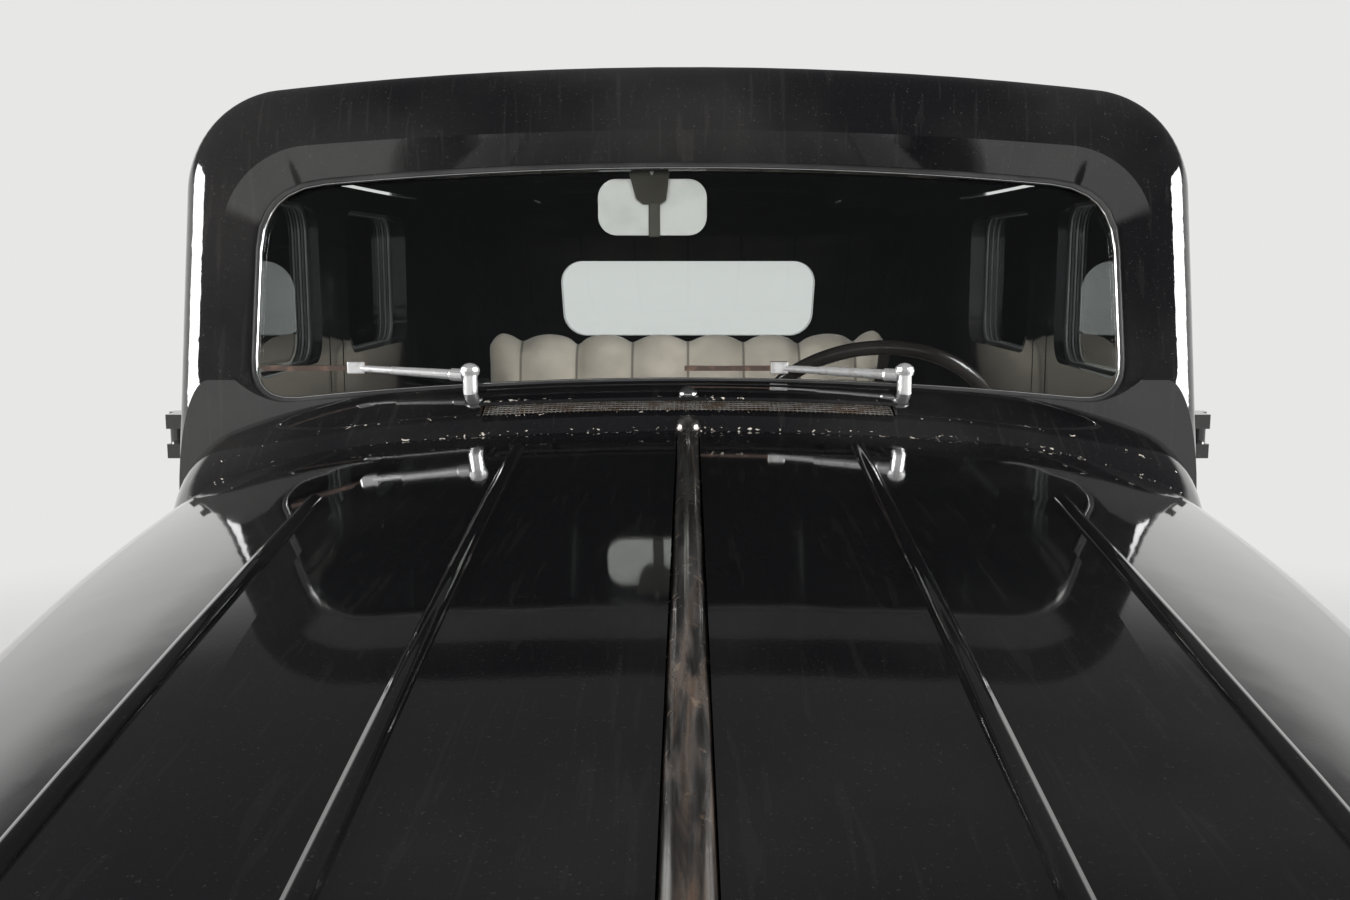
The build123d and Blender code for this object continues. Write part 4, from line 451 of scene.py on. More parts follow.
def wiper_finish(name):
    """Silver arm with a thin dark brown blade at its end."""
    finish = Finish(name)
    _, y, _ = finish.axes()
    blade = y.ease(WIPER_Y + 0.0465, WIPER_Y + 0.0475)
    wear = finish.grain(90.0, 4.0).ease(0.5, 0.7)
    silver = finish.mixed(wear * 0.5, (0.62, 0.62, 0.62), (0.30, 0.28, 0.26))
    brown = finish.mixed(wear, (0.045, 0.030, 0.024), (0.10, 0.062, 0.045))
    return finish.surfaced(
        Base_Color=finish.mixed(blade, silver, brown), Metallic=0.75 - blade * 0.6,
        Roughness=0.28 + wear * 0.2 + blade * 0.2, Normal=finish.bump(wear, 0.1, 0.0005),
    )


def dress(finish, *names):
    """Puts one material on every slot of the named CAD nodes."""
    for name in names:
        mesh = nodes[name].data
        if not mesh.materials:
            mesh.materials.append(finish)
        for index in range(len(mesh.materials)):
            mesh.materials[index] = finish


def corners(kind):
    """Names of the four nodes of a kind: front and rear, left and right."""
    return [f"{kind}_{end}_{side}" for end in AXLE_Y for side in SIDES]


# Mesh helpers

def linked(name, data):
    """Object of the scene that holds the given data."""
    piece = bpy.data.objects.new(name, data)
    bpy.context.scene.collection.objects.link(piece)
    return piece


def new_mesh(name, body, slot, material, verts, faces, smooth=True):
    """Mesh piece that rides on a body and takes a finish."""
    mesh = bpy.data.meshes.new(name)
    mesh.from_pydata([tuple(v) for v in verts], [], faces)
    mesh.validate()
    mesh.materials.append(material)
    piece = linked(name, mesh)
    for polygon in mesh.polygons:
        polygon.use_smooth = smooth
    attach(piece, body)
    return piece


def turns(count):
    """Angles of equal steps round a circle."""
    return [2 * math.pi * step / count for step in range(count)]


def skin(rings, sides, closed=False):
    """Faces over rings of points; the ends are capped, or joined to each other when closed."""
    faces = []
    for ring in range(rings if closed else rings - 1):
        after = (ring + 1) % rings
        for side in range(sides):
            turned = (side + 1) % sides
            faces.append((ring * sides + side, ring * sides + turned, after * sides + turned, after * sides + side))
    if not closed:
        faces += [tuple(range(sides))[::-1], tuple((rings - 1) * sides + side for side in range(sides))]
    return faces


def tube(name, body, material, points, radius, slot="bright_metal", sides=10):
    """Round bead along a closed line of points."""
    verts, across = [], None
    for index, point in enumerate(points):
        along = (points[(index + 1) % len(points)] - points[index - 1]).normalized()
        if across is None:
            across = along.orthogonal().normalized()
        across = (across - along * across.dot(along)).normalized()
        other = along.cross(across)
        verts += [point + (across * math.cos(angle) + other * math.sin(angle)) * radius for angle in turns(sides)]
    return new_mesh(name, body, slot, material, verts, skin(len(points), sides, closed=True))


def lathe(profile, place, axis, steps):
    """Verts and faces of a (along, radius) profile turned about an axis through a place."""
    axis = Vector(axis).normalized()
    across = axis.orthogonal().normalized()
    other = axis.cross(across)
    verts = []
    for along, radius in profile:
        centre = Vector(place) + axis * along
        verts += [centre + (across * math.cos(angle) + other * math.sin(angle)) * radius for angle in turns(steps)]
    return verts, skin(len(profile), steps)


def bevelled_box(centre, size, offset, segments):
    """Box with bevelled edges, still open to edits."""
    shape = bmesh.new()
    bmesh.ops.create_cube(shape, size=1.0)
    for vert in shape.verts:
        vert.co = Vector([centre[i] + vert.co[i] * size[i] for i in range(3)])
    bmesh.ops.bevel(shape, geom=shape.edges[:], offset=offset, segments=segments, profile=0.5, affect="EDGES")
    return shape


def box_part(centre, size):
    """Verts and faces of a small box with bevelled edges."""
    shape = bevelled_box(centre, size, min(size) * 0.18, 2)
    shape.verts.ensure_lookup_table()
    verts = [vert.co.copy() for vert in shape.verts]
    faces = [tuple(vert.index for vert in face.verts) for face in shape.faces]
    shape.free()
    return verts, faces


def joined(parts):
    """One list of verts and faces from several."""
    verts, faces = [], []
    for part_verts, part_faces in parts:
        start = len(verts)
        verts += part_verts
        faces += [tuple(index + start for index in face) for face in part_faces]
    return verts, faces


def reach(node, start, direction):
    """Point where a line from outside first meets a CAD node."""
    hit, place, _, _ = nodes[node].ray_cast(Vector(start), Vector(direction))
    if not hit:
        raise RuntimeError(f"no surface of {node} where a fitting should sit")
    return place


def applied(piece):
    """Mesh of a piece with its modifiers worked in."""
    graph = bpy.context.evaluated_depsgraph_get()
    mesh = bpy.data.meshes.new_from_object(piece.evaluated_get(graph), depsgraph=graph)
    piece.modifiers.clear()
    old, piece.data = piece.data, mesh
    bpy.data.meshes.remove(old)
    return piece


# Soft seats

def pad_blank(name, low, high, lean, round_edge, material):
    """Closed box with round edges that leans back with height, ready to be stuffed."""
    centre = [(a + b) / 2 for a, b in zip(low, high)]
    shape = bevelled_box(centre, [b - a for a, b in zip(low, high)], round_edge, 4)
    for vert in shape.verts:
        vert.co.y += (vert.co.z - low[2]) * lean
    mesh = bpy.data.meshes.new(name)
    shape.to_mesh(mesh)
    shape.free()
    mesh.materials.append(material)
    piece = linked(name, mesh)
    remesh = piece.modifiers.new("Remesh", "REMESH")
    remesh.mode = "VOXEL"
    remesh.voxel_size = bpy.context.scene.sedan_cloth.voxel
    return applied(piece)


def stuffed(piece):
    """Blows the pad up as sewn cloth does, and keeps each point near its pattern."""
    limit = bpy.context.scene.sedan_cloth.swell
    pattern = [vert.co.copy() for vert in piece.data.vertices]
    cloth = piece.modifiers.new("Cloth", "CLOTH")
    cloth.settings.quality = 4
    cloth.settings.mass = 0.2
    cloth.settings.use_pressure = True
    cloth.settings.uniform_pressure_force = 4.0
    cloth.settings.effector_weights.gravity = 0.0
    cloth.point_cache.frame_start, cloth.point_cache.frame_end = 1, STUFFING_FRAMES
    for frame_number in range(1, STUFFING_FRAMES + 1):
        bpy.context.scene.frame_set(frame_number)
    applied(piece)
    bpy.context.scene.frame_set(1)
    for vert, start in zip(piece.data.vertices, pattern):
        moved = vert.co - start
        if moved.length > limit:
            vert.co = start + moved.normalized() * limit
    return piece


def pleated(piece, top, lean):
    """Draws sewn channels into the face and top of a pad; a leaning back gets a scalloped top edge."""
    look = bpy.context.scene.sedan_cloth
    mesh = piece.data
    top_reach = 0.16
    normals = [vert.normal.copy() for vert in mesh.vertices]
    for vert, normal in zip(mesh.vertices, normals):
        channel = abs(math.sin(math.pi * vert.co.x / look.pleat)) ** 0.40
        facing = max(0.0, min(1.0, (max(-normal.y, normal.z) - 0.15) / 0.4))
        down = (top - vert.co.z) / top_reach
        crown = look.crown * (1 - channel) * max(0.0, 1 - down) * facing if lean else 0.0
        vert.co -= normal * (look.depth * (1 - channel) * facing)
        vert.co.z -= crown
    smooth = piece.modifiers.new("Smooth", "SUBSURF")
    smooth.levels = smooth.render_levels = 1
    applied(piece)
    for polygon in piece.data.polygons:
        polygon.use_smooth = True
    return piece


def seat_pad(name, low, high, lean, round_edge, material):
    """One cushion or back of a bench seat, stuffed and pleated."""
    piece = pad_blank(name, low, high, lean, round_edge, material)
    stuffed(piece)
    pleated(piece, high[2], lean)
    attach(piece, "body")
    return piece


def bench(node, cushion_top, back_thickness=0.130, lean=0.2, inset=0.012):
    """Cushion and back of the bench that stands for a CAD seat; the inset leaves room for the stuffing."""
    material = seat_cloth(f"cloth_{node}")
    (_, front, base), (half, rear, top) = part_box(node)
    half -= inset
    rear = rear - lean * (top - cushion_top) + 0.004
    face = rear - back_thickness
    cushion = seat_pad(
        f"{node}_cushion", (-half, front + 0.014, base + 0.010), (half, face + 0.03, cushion_top - inset),
        0.0, 0.04, material,
    )
    back = seat_pad(
        f"{node}_back", (-half, face + inset, cushion_top - 0.10), (half, rear - 0.035, top - inset),
        lean, 0.045, material,
    )
    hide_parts(node)
    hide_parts(node)


class SEDAN_OT_front_seat(bpy.types.Operator):
    """Front bench: pleated cushion and back"""
    bl_idname = "sedan.front_seat"
    bl_label = "Front seat"

    def execute(self, context):
        bench("front_seat", 0.770)
        return {"FINISHED"}


class SEDAN_OT_rear_seat(bpy.types.Operator):
    """Rear bench: pleated cushion and back"""
    bl_idname = "sedan.rear_seat"
    bl_label = "Rear seat"

    def execute(self, context):
        bench("rear_seat", 0.790)
        return {"FINISHED"}


# Finishes of the CAD nodes

class SEDAN_OT_body_finish(bpy.types.Operator):
    """Paint on the body, hood, doors and fenders"""
    bl_idname = "sedan.body_finish"
    bl_label = "Body paint"

    def execute(self, context):
        plain = coach_paint("paint_body")
        dress(plain, "roof_panel", "side_frames", "rear_body", "luggage_lid")
        dress(plain, "hood_sides", "radiator_shell", "headlamps", *corners("door"))
        dress(coach_paint("paint_frame"), "windshield_frame")
        dress(coach_paint("paint_cowl", chips=((COWL_LIP_Y, 0.006), (VENT_BOX_Y, 0.004))), "cowl")
        dress(coach_paint("paint_hood", chips=((HOOD_LIP_Y, 0.006),), dust=0.7), "hood_left", "hood_right")
        dress(coach_paint("paint_vent", chips=((VENT_LID_Y, 0.005),)), "vent_lid")
        dress(coach_paint("paint_fender", dust=1.3), "front_fenders", "rear_fenders")
        dress(board_rubber("board_rubber"), "running_boards")
        return {"FINISHED"}


class SEDAN_OT_bright_finish(bpy.types.Operator):
    """Bumpers, grille, hinge rod, ventilator screen, wipers and lamps"""
    bl_idname = "sedan.bright_finish"
    bl_label = "Bright metal"

    def execute(self, context):
        dress(bright_metal("plate_bumper"), "bumpers", "grille")
        dress(worn_rod("rod_worn"), "hood_rod")
        dress(mesh_wire("vent_screen"), "vent_mesh")
        dress(wiper_finish("wiper_silver"), "wipers")
        dress(tail_lamp_finish("tail_lamp"), "tail_lamps")
        dress(lamp_glass("lamp_glass"), "headlamp_lenses")
        return {"FINISHED"}


class SEDAN_OT_glass_finish(bpy.types.Operator):
    """Clear glass of the windshield, doors and back window"""
    bl_idname = "sedan.glass_finish"
    bl_label = "Glass"

    def execute(self, context):
        dress(clear_glass("glass_front", smears=0.7), "windshield_glass")
        dress(clear_glass("glass_side"), "rear_glass", *corners("glass"))
        return {"FINISHED"}


class SEDAN_OT_running_gear_finish(bpy.types.Operator):
    """Frame, axles, springs, engine, exhaust, tank and wheels"""
    bl_idname = "sedan.running_gear_finish"
    bl_label = "Running gear"

    def execute(self, context):
        frame_black = painted("frame_black", (0.022, 0.021, 0.020), rough=0.5, grain=30.0)
        cast_dark = painted("cast_dark", (0.12, 0.115, 0.11), rough=0.62, grain=120.0, relief=0.5, metallic=0.4)
        spring_steel = painted("spring_steel", (0.07, 0.065, 0.06), rough=0.5, grain=50.0, metallic=0.6)
        pipe_steel = painted("pipe_steel", (0.20, 0.16, 0.12), rough=0.55, grain=40.0, metallic=0.6, mottle=0.5)
        dress(frame_black, "chassis", "front_axle", "radiator_core")
        dress(cast_dark, "engine_block", "driveline", "rear_axle", "knuckle_left", "knuckle_right")
        dress(spring_steel, "leaf_springs")
        dress(pipe_steel, "exhaust")
        dress(painted("tank_black", (0.03, 0.03, 0.03)), "fuel_tank")
        for end, centre_y in AXLE_Y.items():
            dress(wheel_paint(f"wheel_{end}_paint", centre_y), *[f"wheel_{end}_{side}" for side in SIDES])
        return {"FINISHED"}


class SEDAN_OT_cabin_finish(bpy.types.Operator):
    """Floor covering, dashboard, steering wheel and mirror"""
    bl_idname = "sedan.cabin_finish"
    bl_label = "Cabin"

    def execute(self, context):
        covering = painted("floor_covering", (0.06, 0.055, 0.05), rough=0.85, grain=420.0, relief=0.7)
        base = painted("seat_base", (0.10, 0.09, 0.08), rough=0.8, grain=300.0, relief=0.5)
        dash_brown = painted("dash_brown", (0.085, 0.050, 0.030), rough=0.32, grain=26.0, relief=0.1, mottle=0.5)
        rim_black = painted("rim_black", (0.018, 0.014, 0.012), rough=0.2, grain=90.0, relief=0.05)
        dress(covering, "floor_pan")
        dress(base, "front_seat_base")
        dress(dash_brown, "dashboard")
        dress(painted("column_black", (0.015, 0.015, 0.015), rough=0.3), "steering_column")
        dress(rim_black, "steering_wheel")
        dress(mirror_finish("mirror_plate"), "interior_mirror")
        return {"FINISHED"}


# Small trim

def windshield_points(grow, depth, arc_steps=24):
    """Closed line round the windshield: bowed top and foot with rounded corners, set back by a depth."""
    outward = Vector((0, -math.cos(SHIELD_SLANT), math.sin(SHIELD_SLANT)))
    upward = Vector((0, math.sin(SHIELD_SLANT), math.cos(SHIELD_SLANT)))
    foot_middle = Vector(SHIELD_FOOT) - outward * depth
    half, top, foot = SHIELD_HALF + grow, SHIELD_HEIGHT + grow, -grow

    def bow(x, height):
        return height - SHIELD_BOW * (x / half) ** 2

    def rounded(corner, before, after):
        steps = (0.0, 0.18, 0.36, 0.5, 0.64, 0.82, 1.0)
        return [before.lerp(corner, t).lerp(corner.lerp(after, t), t) for t in steps]

    def bowed(span, height):
        places = [span * (2 * step / arc_steps - 1) for step in range(1, arc_steps)]
        return [Vector((x, bow(x, height))) for x in places]

    flat = []
    for x_side, upper in ((-1, False), (-1, True), (1, True), (1, False)):
        height, radius = (top, TOP_CORNER) if upper else (foot, FOOT_CORNER)
        bend = radius * 1.12
        corner = Vector((x_side * half, bow(half, height)))
        along = Vector((x_side * (half - bend), bow(half - bend, height)))
        beside = Vector((x_side * half, corner.y + (-bend if upper else bend)))
        rises = (x_side < 0) == upper
        flat += rounded(corner, beside, along) if rises else rounded(corner, along, beside)
        if (x_side, upper) == (-1, True):
            flat += bowed(half - bend, top)
    flat += bowed(bend - half, foot)
    return [foot_middle + Vector((1, 0, 0)) * p.x + upward * p.y for p in flat]


class SEDAN_OT_windshield_seal(bpy.types.Operator):
    """Rubber round the windshield with a thin bright strip on it"""
    bl_idname = "sedan.windshield_seal"
    bl_label = "Windshield seal"

    def execute(self, context):
        look = context.scene.sedan_trim
        rubber = painted("seal_rubber", (0.015, 0.015, 0.015), rough=0.5, grain=200.0)
        bright = bright_metal("seal_strip", rough=0.12)
        tube("windshield_seal", "body", rubber, windshield_points(-0.002, 0.022), look.seal, slot="body_paint")
        tube("windshield_strip", "body", bright, windshield_points(-0.0058, 0.0188), look.strip, sides=8)
        return {"FINISHED"}


def window_points(box, margin, outside, radius=0.05, steps=6):
    """Rounded rectangle round a door glass, in its own upright plane."""
    (_, y_low, z_low), (_, y_high, z_high) = box
    y_low, y_high, z_low, z_high = y_low + margin, y_high - margin, z_low + margin, z_high - margin
    corners = ((y_high - radius, z_high - radius, 0), (y_low + radius, z_high - radius, 1),
               (y_low + radius, z_low + radius, 2), (y_high - radius, z_low + radius, 3))
    points = []
    for y, z, quarter in corners:
        for step in range(steps + 1):
            angle = math.pi / 2 * (quarter + step / steps)
            points.append(Vector((outside, y + radius * math.cos(angle), z + radius * math.sin(angle))))
    return points


class SEDAN_OT_window_trim(bpy.types.Operator):
    """Channel bead round each door glass, on both faces"""
    bl_idname = "sedan.window_trim"
    bl_label = "Window beads"

    def execute(self, context):
        rubber = painted("window_felt", (0.02, 0.02, 0.02), rough=0.7, grain=300.0)
        for end in AXLE_Y:
            for side, sign in SIDES.items():
                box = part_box(f"glass_{end}_{side}")
                outer = max(abs(box[0][0]), abs(box[1][0])) * sign
                inner = min(abs(box[0][0]), abs(box[1][0])) * sign
                for face, x in (("outer", outer + sign * 0.002), ("inner", inner - sign * 0.002)):
                    tube(f"window_bead_{end}_{side}_{face}", f"door_{end}_{side}", rubber,
                         window_points(box, 0.012, x), 0.004, slot="body_paint", sides=8)
        return {"FINISHED"}


def door_handle(end, side, material, sides=12):
    """Boss and tapered lever of one door, on the door's own surface."""
    door, sign = f"door_{end}_{side}", SIDES[side]
    seat = reach(door, (sign * 1.3, HANDLE_Y[end], HANDLE_Z), (-sign, 0, 0))
    lever_length = bpy.context.scene.sedan_trim.handle
    profile = [(-0.004, 0.017), (0.003, 0.017), (0.006, 0.013), (0.010, 0.009), (0.030, 0.008), (0.036, 0.005)]
    boss = lathe(profile, seat, (sign, 0, 0), 20)
    # Sections of the lever: share of its length, out from the door, up, radius
    lever = ((0, 0.030, 0, 0.0085), (0.35, 0.036, 0.002, 0.0078), (0.7, 0.036, 0, 0.0066), (1, 0.031, -0.002, 0.0052))
    verts = []
    for back, out, up, radius in lever:
        centre = seat + Vector((sign * out, -lever_length * back, up))
        verts += [centre + Vector((sign * radius * 0.8 * math.cos(a), 0, radius * math.sin(a))) for a in turns(sides)]
    verts, faces = joined([boss, (verts, skin(len(lever), sides))])
    new_mesh(f"handle_{end}_{side}", door, "bright_metal", material, verts, faces)


class SEDAN_OT_door_handles(bpy.types.Operator):
    """Bright lever handle on each door"""
    bl_idname = "sedan.door_handles"
    bl_label = "Door handles"

    def execute(self, context):
        material = bright_metal("plate_handle", rough=0.08)
        for side in SIDES:
            for end in HANDLE_Y:
                door_handle(end, side, material)
        return {"FINISHED"}


class SEDAN_OT_mirror_bracket(bpy.types.Operator):
    """Tapered bracket plate and clamp that carry the interior mirror"""
    bl_idname = "sedan.mirror_bracket"
    bl_label = "Mirror bracket"

    def execute(self, context):
        (left, front, foot), (right, back, top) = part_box("interior_mirror")
        middle, neck, thickness = (left + right) / 2, foot + 0.046, 0.003
        top_y, neck_y = front - 0.002, back - 0.024
        # Rim of the plate: across from the middle, height
        rim = ((-0.042, top), (0.030, top), (0.021, neck + 0.006), (0.012, neck), (-0.014, neck),
               (-0.024, neck + 0.008))
        verts = []
        for depth in (0.0, thickness):
            for x, z in rim:
                y = neck_y + (top_y - neck_y) * (z - neck) / (top - neck)
                verts.append(Vector((middle + x, y + depth, z)))
        clamp = box_part((middle + 0.003, back - 0.019, (foot + neck) / 2), (0.017, 0.012, neck - foot + 0.006))
        verts, faces = joined([(verts, skin(2, len(rim))), clamp])
        plate = painted("bracket_paint", (0.040, 0.036, 0.028), rough=0.45)
        new_mesh("mirror_bracket", "body", "mirror_metal", plate, verts, faces, smooth=False)
        return {"FINISHED"}


class SEDAN_OT_wiper_fittings(bpy.types.Operator):
    """Round cap on each wiper post, sleeve on its arm and square blade clip"""
    bl_idname = "sedan.wiper_fittings"
    bl_label = "Wiper fittings"

    def execute(self, context):
        silver = wiper_finish("fitting_silver")
        cap_profile = [(-0.004, 0.012), (0.002, 0.0135), (0.007, 0.012), (0.011, 0.007), (0.0125, 0.002)]
        sleeve_profile = [(0.010, 0.0088), (0.027, 0.0088), (0.030, 0.0070), (0.120, 0.0056)]
        arm = Vector((-0.170, 0.044, 0.007))
        for name, pivot_x in WIPER_X.items():
            pivot = Vector((pivot_x, WIPER_Y, WIPER_Z))
            cap = lathe(cap_profile, pivot + Vector((0, 0, 0.005)), (0, 0, 1), 20)
            clip = box_part(pivot + arm + Vector((0, 0.008, 0)), (0.026, 0.012, 0.018))
            sleeve = lathe(sleeve_profile, pivot, arm, 16)
            verts, faces = joined([cap, clip, sleeve])
            new_mesh(f"wiper_cap_{name}", "body", "wiper_metal", silver, verts, faces, smooth=False)
        return {"FINISHED"}


class SEDAN_OT_vent_wire(bpy.types.Operator):
    """Square woven wire screen in the cowl ventilator"""
    bl_idname = "sedan.vent_wire"
    bl_label = "Ventilator screen"

    def execute(self, context):
        look = context.scene.sedan_trim
        (left, front, _), (right, back, _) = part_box("vent_mesh")
        across, along = int((right - left) / look.mesh_pitch), int((back - front) / look.mesh_pitch)
        edge, lift = 0.002, Vector((0, 0, 0.006))
        rows, columns = 12, 24
        grid = []
        for row in range(rows + 1):
            y = front + edge + (back - front - 2 * edge) * row / rows
            places = [left + edge + (right - left - 2 * edge) * column / columns for column in range(columns + 1)]
            grid.append([reach("vent_mesh", (x, y, 1.5), (0, 0, -1)) for x in places])

        def surface(u, v):
            """Place on the screen from 0 to 1 across and along, lifted toward the lid."""
            row, column = min(int(v * rows), rows - 1), min(int(u * columns), columns - 1)
            near, far = [line[column].lerp(line[column + 1], u * columns - column) for line in grid[row:row + 2]]
            return near.lerp(far, v * rows - row) + lift

        parts = []
        for wire in range(across + 1):
            parts.append(wire_part([surface(wire / across, step / 6) for step in range(7)], look.mesh_wire))
        for wire in range(along + 1):
            parts.append(wire_part([surface(step / 30, wire / along) for step in range(31)], look.mesh_wire))
        verts, faces = joined(parts)
        piece = new_mesh("vent_wire", "body", "mesh_metal", mesh_wire("woven_wire"), verts, faces)
        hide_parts("vent_mesh")
        return {"FINISHED"}


def wire_part(points, radius):
    """Verts and faces of one thin wire of square section along a line of points."""
    verts = []
    for index, point in enumerate(points):
        along = (points[min(index + 1, len(points) - 1)] - points[max(index - 1, 0)]).normalized()
        side = along.cross(Vector((0, 0, 1))).normalized() * radius
        up = side.cross(along)
        verts += [point + side, point - up, point - side, point + up]
    return verts, skin(len(points), 4)


class SEDAN_OT_hood_fittings(bpy.types.Operator):
    """Small pointed knob on the vent lid and rounded end of the hinge rod"""
    bl_idname = "sedan.hood_fittings"
    bl_label = "Hood fittings"

    def execute(self, context):
        plate = bright_metal("plate_knob", colour=(0.55, 0.55, 0.55), rough=0.2, tarnish=0.6)
        seat = reach("vent_lid", (0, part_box("vent_lid")[0][1] + 0.012, 1.4), (0, 0, -1))
        pointed = [(-0.002, 0.013), (0.003, 0.013), (0.008, 0.008), (0.012, 0.002)]
        new_mesh("vent_knob", "vent_lid", "body_paint", plate, *lathe(pointed, seat, (0, 0, 1), 12))
        _, rear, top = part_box("hood_rod")[1]
        rounded = [(-0.006, 0.0165), (0.004, 0.0175), (0.012, 0.014), (0.018, 0.008), (0.020, 0.002)]
        end = lathe(rounded, (0, rear - 0.016, top - 0.010), (0, 0.25, 1), 20)
        new_mesh("rod_knob", "body", "rod_metal", worn_rod("rod_knob_worn"), *end)
        return {"FINISHED"}


def tyre_rows():
    """Rows from the middle of the tread to the outer bead (across, radius, cut, zigzag), and how many are wall."""
    # Tread: across, in a groove or not, cut, zigzag
    tread = ((0.0015, 1, 0, 1), (0.0025, 0, 0, 1), (0.0215, 0, 0, 1), (0.0225, 1, 0, 1), (0.0255, 1, 0, 1),
             (0.0265, 0, 0, 1), (0.0370, 0, 0, 0), (0.0380, 0, 1, 0), (0.0520, 0, 1, 0))
    # Wall: degrees above its widest place, on a ring or not, cut
    wall = ((26, 0, 0.6), (17.5, 0, 0), (17, 1, 0), (13.5, 1, 0), (13, 0, 0), (4, 0, 0), (-6, 0, 0),
            (-13, 0, 0), (-13.5, 1, 0), (-16.5, 1, 0), (-17, 0, 0), (-26, 0, 0), (-34, 0, 0))
    rows = []
    for across, deep, cut, zigzag in tread:
        crown = TYRE_RADIUS - CROWN_BEND + math.sqrt(CROWN_BEND ** 2 - across ** 2)
        rows.append((across, crown - deep * GROOVE_DEPTH, cut, zigzag))
    for degrees, raised, cut in wall:
        angle, bend = math.radians(degrees), WALL_BEND + raised * RING_HEIGHT
        rows.append((WALL_ACROSS + bend * math.cos(angle), WALL_RADIUS + bend * math.sin(angle), cut, 0))
    return rows, len(wall)


def tyre_part(centre, blocks):
    """Verts and faces of a tyre with zigzag grooves and shoulder cuts, and which faces are smooth."""
    half, wall_rows = tyre_rows()
    rows = [(-across, *others) for across, *others in reversed(half)] + half
    # Steps of one block: share of it, in a cut or not, side of the zigzag
    block_steps = ((0, 0, 1), (0.02, 1, 1), (0.10, 1, 1), (0.12, 0, 1), (0.56, 0, -1))
    steps = [(block + part, deep, swing) for block in range(blocks) for part, deep, swing in block_steps]
    verts = []
    for across, radius, cut, zigzag in rows:
        for turn, deep, swing in steps:
            angle, cut_in = 2 * math.pi * turn / blocks, cut * deep * CUT_DEPTH
            out = radius - cut_in
            aside = across + zigzag * swing * 0.0022 - math.copysign(cut_in / 3, across)
            verts.append((centre[0] + aside, centre[1] + out * math.sin(angle), centre[2] - out * math.cos(angle)))
    smooth = [not wall_rows <= row < len(rows) - 1 - wall_rows for row in range(len(rows)) for _ in steps]
    return verts, skin(len(rows), len(steps), closed=True), smooth


class SEDAN_OT_tyres(bpy.types.Operator):
    """Tyres with a zigzag ribbed tread, cut shoulders and rings on the wall"""
    bl_idname = "sedan.tyres"
    bl_label = "Tyres"

    def execute(self, context):
        blocks = context.scene.sedan_trim.tread_blocks
        for end, centre_y in AXLE_Y.items():
            rubber = tyre_rubber(f"rubber_{end}", centre_y)
            for side in SIDES:
                node = f"tyre_{end}_{side}"
                dress(rubber, node)
                centre = [(a + b) / 2 for a, b in zip(*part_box(node))]
                verts, faces, smooth = tyre_part(centre, blocks)
                piece = new_mesh(f"tread_{end}_{side}", f"wheel_{end}_{side}", "tyre_rubber", rubber, verts, faces)
                piece.data.polygons.foreach_set("use_smooth", smooth)
                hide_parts(node)
        return {"FINISHED"}


class SEDAN_OT_wheel_nuts(bpy.types.Operator):
    """Nuts round each hub cap"""
    bl_idname = "sedan.wheel_nuts"
    bl_label = "Wheel nuts"

    def execute(self, context):
        plate = bright_metal("plate_nut", rough=0.2)
        profile = [(-0.004, 0.010), (0.008, 0.010), (0.012, 0.007), (0.013, 0.003)]
        for end, centre_y in AXLE_Y.items():
            for side, sign in SIDES.items():
                wheel, parts = f"wheel_{end}_{side}", []
                for angle in turns(context.scene.sedan_trim.nuts):
                    y, z = centre_y + NUT_CIRCLE * math.sin(angle), WHEEL_Z + NUT_CIRCLE * math.cos(angle)
                    parts.append(lathe(profile, reach(wheel, (sign, y, z), (-sign, 0, 0)), (sign, 0, 0), 6))
                verts, faces = joined(parts)
                new_mesh(f"nuts_{end}_{side}", wheel, "bright_metal", plate, verts, faces, smooth=False)
        return {"FINISHED"}


class SEDAN_OT_lamp_rings(bpy.types.Operator):
    """Bright ring round each headlamp glass"""
    bl_idname = "sedan.lamp_rings"
    bl_label = "Lamp rings"

    def execute(self, context):
        plate = bright_metal("plate_ring", rough=0.06)
        low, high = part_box("headlamp_lenses")
        radius = (high[2] - low[2]) / 2
        for side, sign in SIDES.items():
            centre = Vector((sign * (high[0] - radius), low[1] + 0.016, (low[2] + high[2]) / 2))
            points = [centre + Vector((math.cos(a), 0, math.sin(a))) * (radius + 0.002) for a in turns(48)]
            tube(f"lamp_ring_{side}", "body", plate, points, 0.0075, sides=12)
        return {"FINISHED"}


class SEDAN_OT_dials(bpy.types.Operator):
    """Round dials with bright bezels in the dashboard"""
    bl_idname = "sedan.dials"
    bl_label = "Dashboard dials"

    def execute(self, context):
        plate = bright_metal("plate_bezel", rough=0.12)
        face = painted("dial_face", (0.42, 0.38, 0.30), rough=0.4, grain=200.0, relief=0.02)
        for index, (x, radius) in enumerate(DIALS):
            seat = reach("dashboard", (x, 0.3, DIAL_Z), (0, -1, 0))
            ring = [seat + Vector((math.cos(a) * radius, 0.003, math.sin(a) * radius)) for a in turns(40)]
            tube(f"dial_bezel_{index}", "body", plate, ring, 0.0045)
            profile = [(-0.001, radius), (0.002, radius * 0.98), (0.0025, radius * 0.06), (0.005, radius * 0.05)]
            verts, faces = lathe(profile, seat, (0, 1, 0), 40)
            new_mesh(f"dial_face_{index}", "body", "trim_paint", face, verts, faces, smooth=False)
        return {"FINISHED"}


# Stage

def soft_lamp(name, place, target, size, power, spread, mirrored):
    """Soft lamp that faces a target, with the spread of its beam in degrees."""
    light = bpy.data.lights.new(name, "AREA")
    light.shape, light.size, light.size_y, light.energy = "RECTANGLE", size[0], size[1], power
    light.spread = math.radians(spread)
    lamp = linked(name, light)
    lamp.visible_glossy = mirrored
    lamp.location = place
    lamp.rotation_euler = (Vector(target) - Vector(place)).to_track_quat("-Z", "Y").to_euler()


